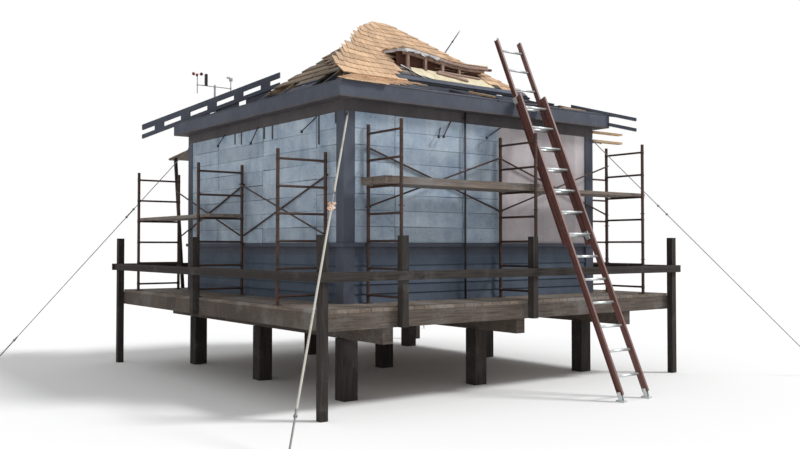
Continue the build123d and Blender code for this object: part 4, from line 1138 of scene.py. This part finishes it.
places = [place for side in (-1, 1) for section in (fly, base) for place in railBars(side, section)]
layPieces("ladderRails", places, "ladderRail", ("ladder_fly", "ladder_base"))
rungs = []
for section in (fly, base):
    reach = section["firstRung"]
    inner = section["width"] / 2 - ladder["rail"]
    while reach < section["top"] - 0.030:
        start, end = (onLadder(x, reach, section["lift"] + section["depth"] / 2) for x in (-inner, inner))
        rungs.append(bar(start, end, ladder["rung"], ladder["rung"]))
        reach += ladder["rungPitch"]
layPieces("ladderRungs", rungs, "rungAluminium", (), rodShape)
feet = {"shift": 0.008, "pad": (0.120, 0.055, 0.020), "ear": 0.019, "earTop": 0.075}
baseMiddle = base["lift"] + base["depth"] / 2
fittings = []
for side in (-1, 1):
    outer = side * (base["width"] / 2 - ladder["rail"] / 2)
    sole = onLadder(outer, 0, baseMiddle)
    centre = Vector((sole.x, sole.y + feet["shift"], feet["pad"][2] / 2))
    fittings.append(boxPlace(centre, backward, sideways, feet["pad"]))
    for ear in (-feet["ear"], feet["ear"]):
        ankle = Vector((sole.x + ear, sole.y + feet["shift"], 0.018))
        fittings.append(bar(ankle, onLadder(outer + ear, feet["earTop"], baseMiddle), 0.050, 0.005, backward))
    fittings.append(ladderBar(outer, base["top"] - 0.10, base["top"], 0.030, 0.068, 0.032))
    lock = side * (fly["width"] / 2 - ladder["rail"] - 0.012)
    fittings.append(ladderBar(lock, fly["low"] + 0.06, fly["low"] + 0.17, 0.075, 0.060, 0.016))
layPieces("ladderFittings", fittings, "rungAluminium", seed=53)
print("ladder made")

# Guys: rope or wire from an eye at each corner, through a turnbuckle to a rod
guys = {"topDrop": 0.030, "eyeIn": 0.048, "eyeOut": 0.015, "spread": 0.060, "near": 1.950, "far": 2.250,
        "share": 0.29, "turnbuckle": 0.170, "anchor": 0.420, "rope": 0.0115, "wire": 0.006, "tagShare": 0.335}
eyeProfile = [(0, 0), (0.022, 0), (0.022, 0.004), (0.007, 0.005), (0.007, 0.030), (0, 0.030)]
wires = []
fittings = []
for sideX, sideY in ((-1, -1), (1, -1), (1, 1), (-1, 1)):
    near = (sideX, sideY) == (-1, -1)
    spread = guys["near"] if near else guys["far"]
    top = Vector((sideX * (cornerOut - guys["eyeIn"]), sideY * (cornerOut + guys["eyeOut"]),
                  shutterTop - guys["topDrop"]))
    foot = Vector((top.x + sideX * spread, top.y + sideY * (spread + guys["spread"]), 0))
    run = foot - top
    way = run.normalized()
    buckleTop = top + run * guys["share"]
    buckleEnd = buckleTop + way * guys["turnbuckle"]
    rodTop = foot - way * guys["anchor"]
    across = way.orthogonal().normalized() * 0.014
    fittings += [
        (eyeProfile, top - backward * (sideY * guys["eyeOut"]), (0, sideY, 0)), ballPart(top, 0.013),
        rodPart(top, top + way * 0.060, 0.0135), rodPart(rodTop, foot, 0.0095), ballPart(rodTop, 0.020),
        rodPart(rodTop - way * 0.070, rodTop, 0.0125),
        *[rodPart(end - way * 0.012, end + way * 0.012, 0.017) for end in (buckleTop, buckleEnd)],
        *[rodPart(buckleTop + across * side, buckleEnd + across * side, 0.005) for side in (-1, 1)],
        rodPart(buckleTop, buckleTop + way * 0.065, 0.006),
        rodPart(buckleEnd - way * 0.065, buckleEnd, 0.006),
    ]
    radius = guys["rope"] if near else guys["wire"]
    pieces = [rodPart(top, buckleTop, radius), rodPart(buckleEnd, rodTop, radius)]
    if near:
        turnedPiece("nearGuyRope", pieces, "paleRope", ("guy_cables",), 10)
        tagAt = top + run * guys["tagShare"]
        side, front = Vector((0.8, -0.6, 0)), Vector((-0.6, -0.8, 0))
        rows = [[tagAt + way * (0.02 * n - 0.05) + side * (s * (0.034 + 0.012 * math.sin(n * 1.9)))
                 + front * (0.014 + 0.01 * math.sin(2.2 * n + 3 * s)) for s in (-1, -0.3, 0.3, 1)]
                for n in range(7)]
        sheetPiece("guyTag", rows, 0.002, "guyTag")
    else:
        wires += pieces
turnedPiece("guyWires", wires, "guySteel", ("guy_cables",), 10)
turnedPiece("guyFittings", fittings, "guySteel", (), 14, clip=[((0, 0, 0.0), (0, 0, -1))])
print("guys strung")

# Weather mast: pole and cross arm, cups, a shield of stacked plates and a vane
mast = {"x": -1.640, "top": 4.370, "radius": 0.016, "armLeft": -0.300, "armRight": 0.280, "arm": 0.008,
        "stub": 0.150, "plates": 9, "platePitch": 0.020, "plate": 0.028, "core": 0.019, "firstCup": 186,
        "spoke": 0.070, "cup": 0.027, "cupWall": 0.003}
mastY = eaveHalf + roof["lath"] * math.sin(kickAngle) + mast["radius"]
armZ = mast["top"] - 0.016
stubTop = mast["top"] + mast["stub"]


def onMast(x, z, y=0.0):
    return Vector((mast["x"] + x, mastY + y, z))


def mastRod(x, low, high, radius):
    return rodPart(onMast(x, low), onMast(x, high), radius)


pole = [mastRod(0, soffitZ, mast["top"], mast["radius"]), ballPart(onMast(0, mast["top"]), 0.017),
        rodPart(onMast(mast["armLeft"], armZ), onMast(mast["armRight"], armZ), mast["arm"]),
        rodPart(onMast(0, armZ, -0.024), onMast(0, armZ, 0.024), 0.013)]
for x in (mast["armLeft"], mast["armRight"]):
    pole.append(mastRod(x, mast["top"] - mast["stub"], stubTop, mast["arm"]))
    pole.append(mastRod(x, armZ - 0.018, armZ + 0.018, 0.012))
for z in (soffitZ + 0.060, soffitZ + 0.120):
    pole.append(rodPart(onMast(0, z, eaveHalf - mastY), onMast(0, z), 0.010))
    pole.append(mastRod(0, z - 0.009, z + 0.009, 0.021))
pole.append(mastRod(mast["armRight"], stubTop - 0.045, stubTop - 0.005, 0.030))
turnedPiece("mastPole", pole, "galvanisedPole", ("weather_mast",))
cupCentre = onMast(mast["armLeft"], stubTop)
cups = [rodPart(cupCentre - upward * 0.030, cupCentre + upward * 0.010, 0.012)]
for n in range(3):
    spoke = spinBy(mast["firstCup"] + 120 * n) @ sideways
    hub = cupCentre + spoke * mast["spoke"]
    cups += [rodPart(cupCentre, hub, 0.003), cupPart(hub, spoke.cross(upward), mast["cup"], mast["cupWall"])]
turnedPiece("mastCups", cups, "redCup")
profile = [(0, 0)]
for n in range(mast["plates"]):
    low = mast["platePitch"] * n
    profile += [(mast["plate"], low), (mast["plate"], low + 0.010), (mast["core"], low + 0.013),
                (mast["core"], low + 0.019)]
profile += [(mast["plate"], 0.182), (0.014, 0.190), (0, 0.190)]
turnedPiece("mastShield", [(profile, onMast(mast["armLeft"] / 2, armZ), upward)], "blackPlastic")
vane = onMast(mast["armRight"], stubTop + 0.004)
layPieces("mastVane", [bar(vane - sideways * 0.075, vane - sideways * 0.010, 0.030, 0.003),
                       bar(vane - sideways * 0.010, vane + sideways * 0.036, 0.006, 0.005)],
          "galvanisedPole")

# The lightning rod tapers to a point over a bolted flange
rodFoot = overRoof(90, -0.55, eaveHalf - 0.66, roof["cover"])
rodWay = Vector((0.62, 0, 0.79)).normalized()
roofLean = roofAxes(90, faceLength)[3]
parts = [([(0, 0), (0.032, 0), (0.032, 0.007), (0.018, 0.009), (0.012, 0.026), (0, 0.026)], rodFoot,
          roofLean),
         ([(0, 0), (0.009, 0), (0.0085, 0.30), (0.0065, 0.50), (0.001, 0.565), (0, 0.565)], rodFoot, rodWay),
         ([(0, 0), (0.0125, 0), (0.0125, 0.020), (0, 0.020)], rodFoot + rodWay * 0.30, rodWay)]
turnedPiece("lightningRodPoint", parts, "darkSteel", ("lightning_rod",), 12)
print("mast and rod made")

# Finishes for the frame's own nodes
nodeFinishes = {
    "darkPost": "foundation_posts rail_posts shutter_prop",
    "deckTimber": "deck_beams deck_joists deck_rim",
    "floorBoard": "cab_floor",
    "darkRail": "deck_rails",
    "slatePaint": "wall_base_front wall_base_back wall_base_left wall_base_right sill_boards corner_boards "
                  "fascia_boards hip_tails",
    "soffitPaint": "frieze_boards soffit_boards",
    "frameTimber": "window_frame_front window_frame_back window_frame_left window_frame_right",
    "windowGlass": "window_glass",
    "plywoodPrimer": "plywood_sheets",
    "rafterTimber": "king_block hip_rafters jack_rafters",
    "browTimber": "brow_hood",
    "scaffoldSteel": "scaffold_frames scaffold_braces",
}
for finish, nodes in nodeFinishes.items():
    for node in nodes.split():
        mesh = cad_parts[node].data
        mesh.materials.clear()
        mesh.materials.append(materials[finish])
print("nodes finished")

for shape in (boardShape, wedgeShape, rodShape):
    bpy.data.objects.remove(shape)

# Stage: pale floor, soft light, the photograph's viewpoint
stage = {"floorReach": 60, "sunStrength": 2.3, "sunAngle": 14, "sunWay": (-0.75, 0.62, -0.95),
         "skyFill": 0.62, "lens": 40.0, "sensor": 36, "eye": (-7.853, -10.737, 1.80),
         "turn": 37.2, "rise": 1.4}

floorMesh = bpy.data.meshes.new("floor")
reach = stage["floorReach"]
floorMesh.from_pydata([(-reach, -reach, 0), (reach, -reach, 0), (reach, reach, 0), (-reach, reach, 0)], [],
                      [(0, 1, 2, 3)])
floor = addObject("floor", floorMesh)
pale = {"Base Color": (0.92, 0.92, 0.92, 1), "Roughness": 1.0, "Specular IOR Level": 0.0}
setInputs(*newLook("paleFloor"), pale)
floorMesh.materials.append(materials["paleFloor"])

sun = bpy.data.lights.new("softSun", "SUN")
sun.energy = stage["sunStrength"]
sun.angle = math.radians(stage["sunAngle"])
sunLamp = addObject("softSun", sun)
sunLamp.rotation_euler = Vector(stage["sunWay"]).to_track_quat("-Z", "Y").to_euler()

world = bpy.data.worlds.new("studio")
bpy.context.scene.world = world
world.use_nodes = True
skyTree = world.node_tree
skyTree.nodes.clear()
rays = shade(skyTree, "LightPath", {})
seen = calculate(skyTree, "MAXIMUM", rays["Is Camera Ray"], rays["Is Glossy Ray"])
seen = calculate(skyTree, "MAXIMUM", seen, rays["Is Transmission Ray"])
strength = shade(skyTree, "MapRange", {"Value": seen, "To Min": stage["skyFill"], "To Max": 1.0})["Result"]
sky = shade(skyTree, "Background", {"Color": (1, 1, 1, 1), "Strength": strength})[0]
skyTree.links.new(sky, skyTree.nodes.new("ShaderNodeOutputWorld").inputs[0])

cameraData = bpy.data.cameras.new("camera")
cameraData.lens = stage["lens"]
cameraData.sensor_width = stage["sensor"]
camera = addObject("camera", cameraData)
turn, rise = math.radians(stage["turn"]), math.radians(stage["rise"])
aim = Vector((math.sin(turn) * math.cos(rise), math.cos(turn) * math.cos(rise), math.sin(rise)))
camera.location = stage["eye"]
camera.rotation_euler = aim.to_track_quat("-Z", "Y").to_euler()
bpy.context.scene.camera = camera
bpy.context.scene.view_settings.view_transform = "Standard"
print("stage set")
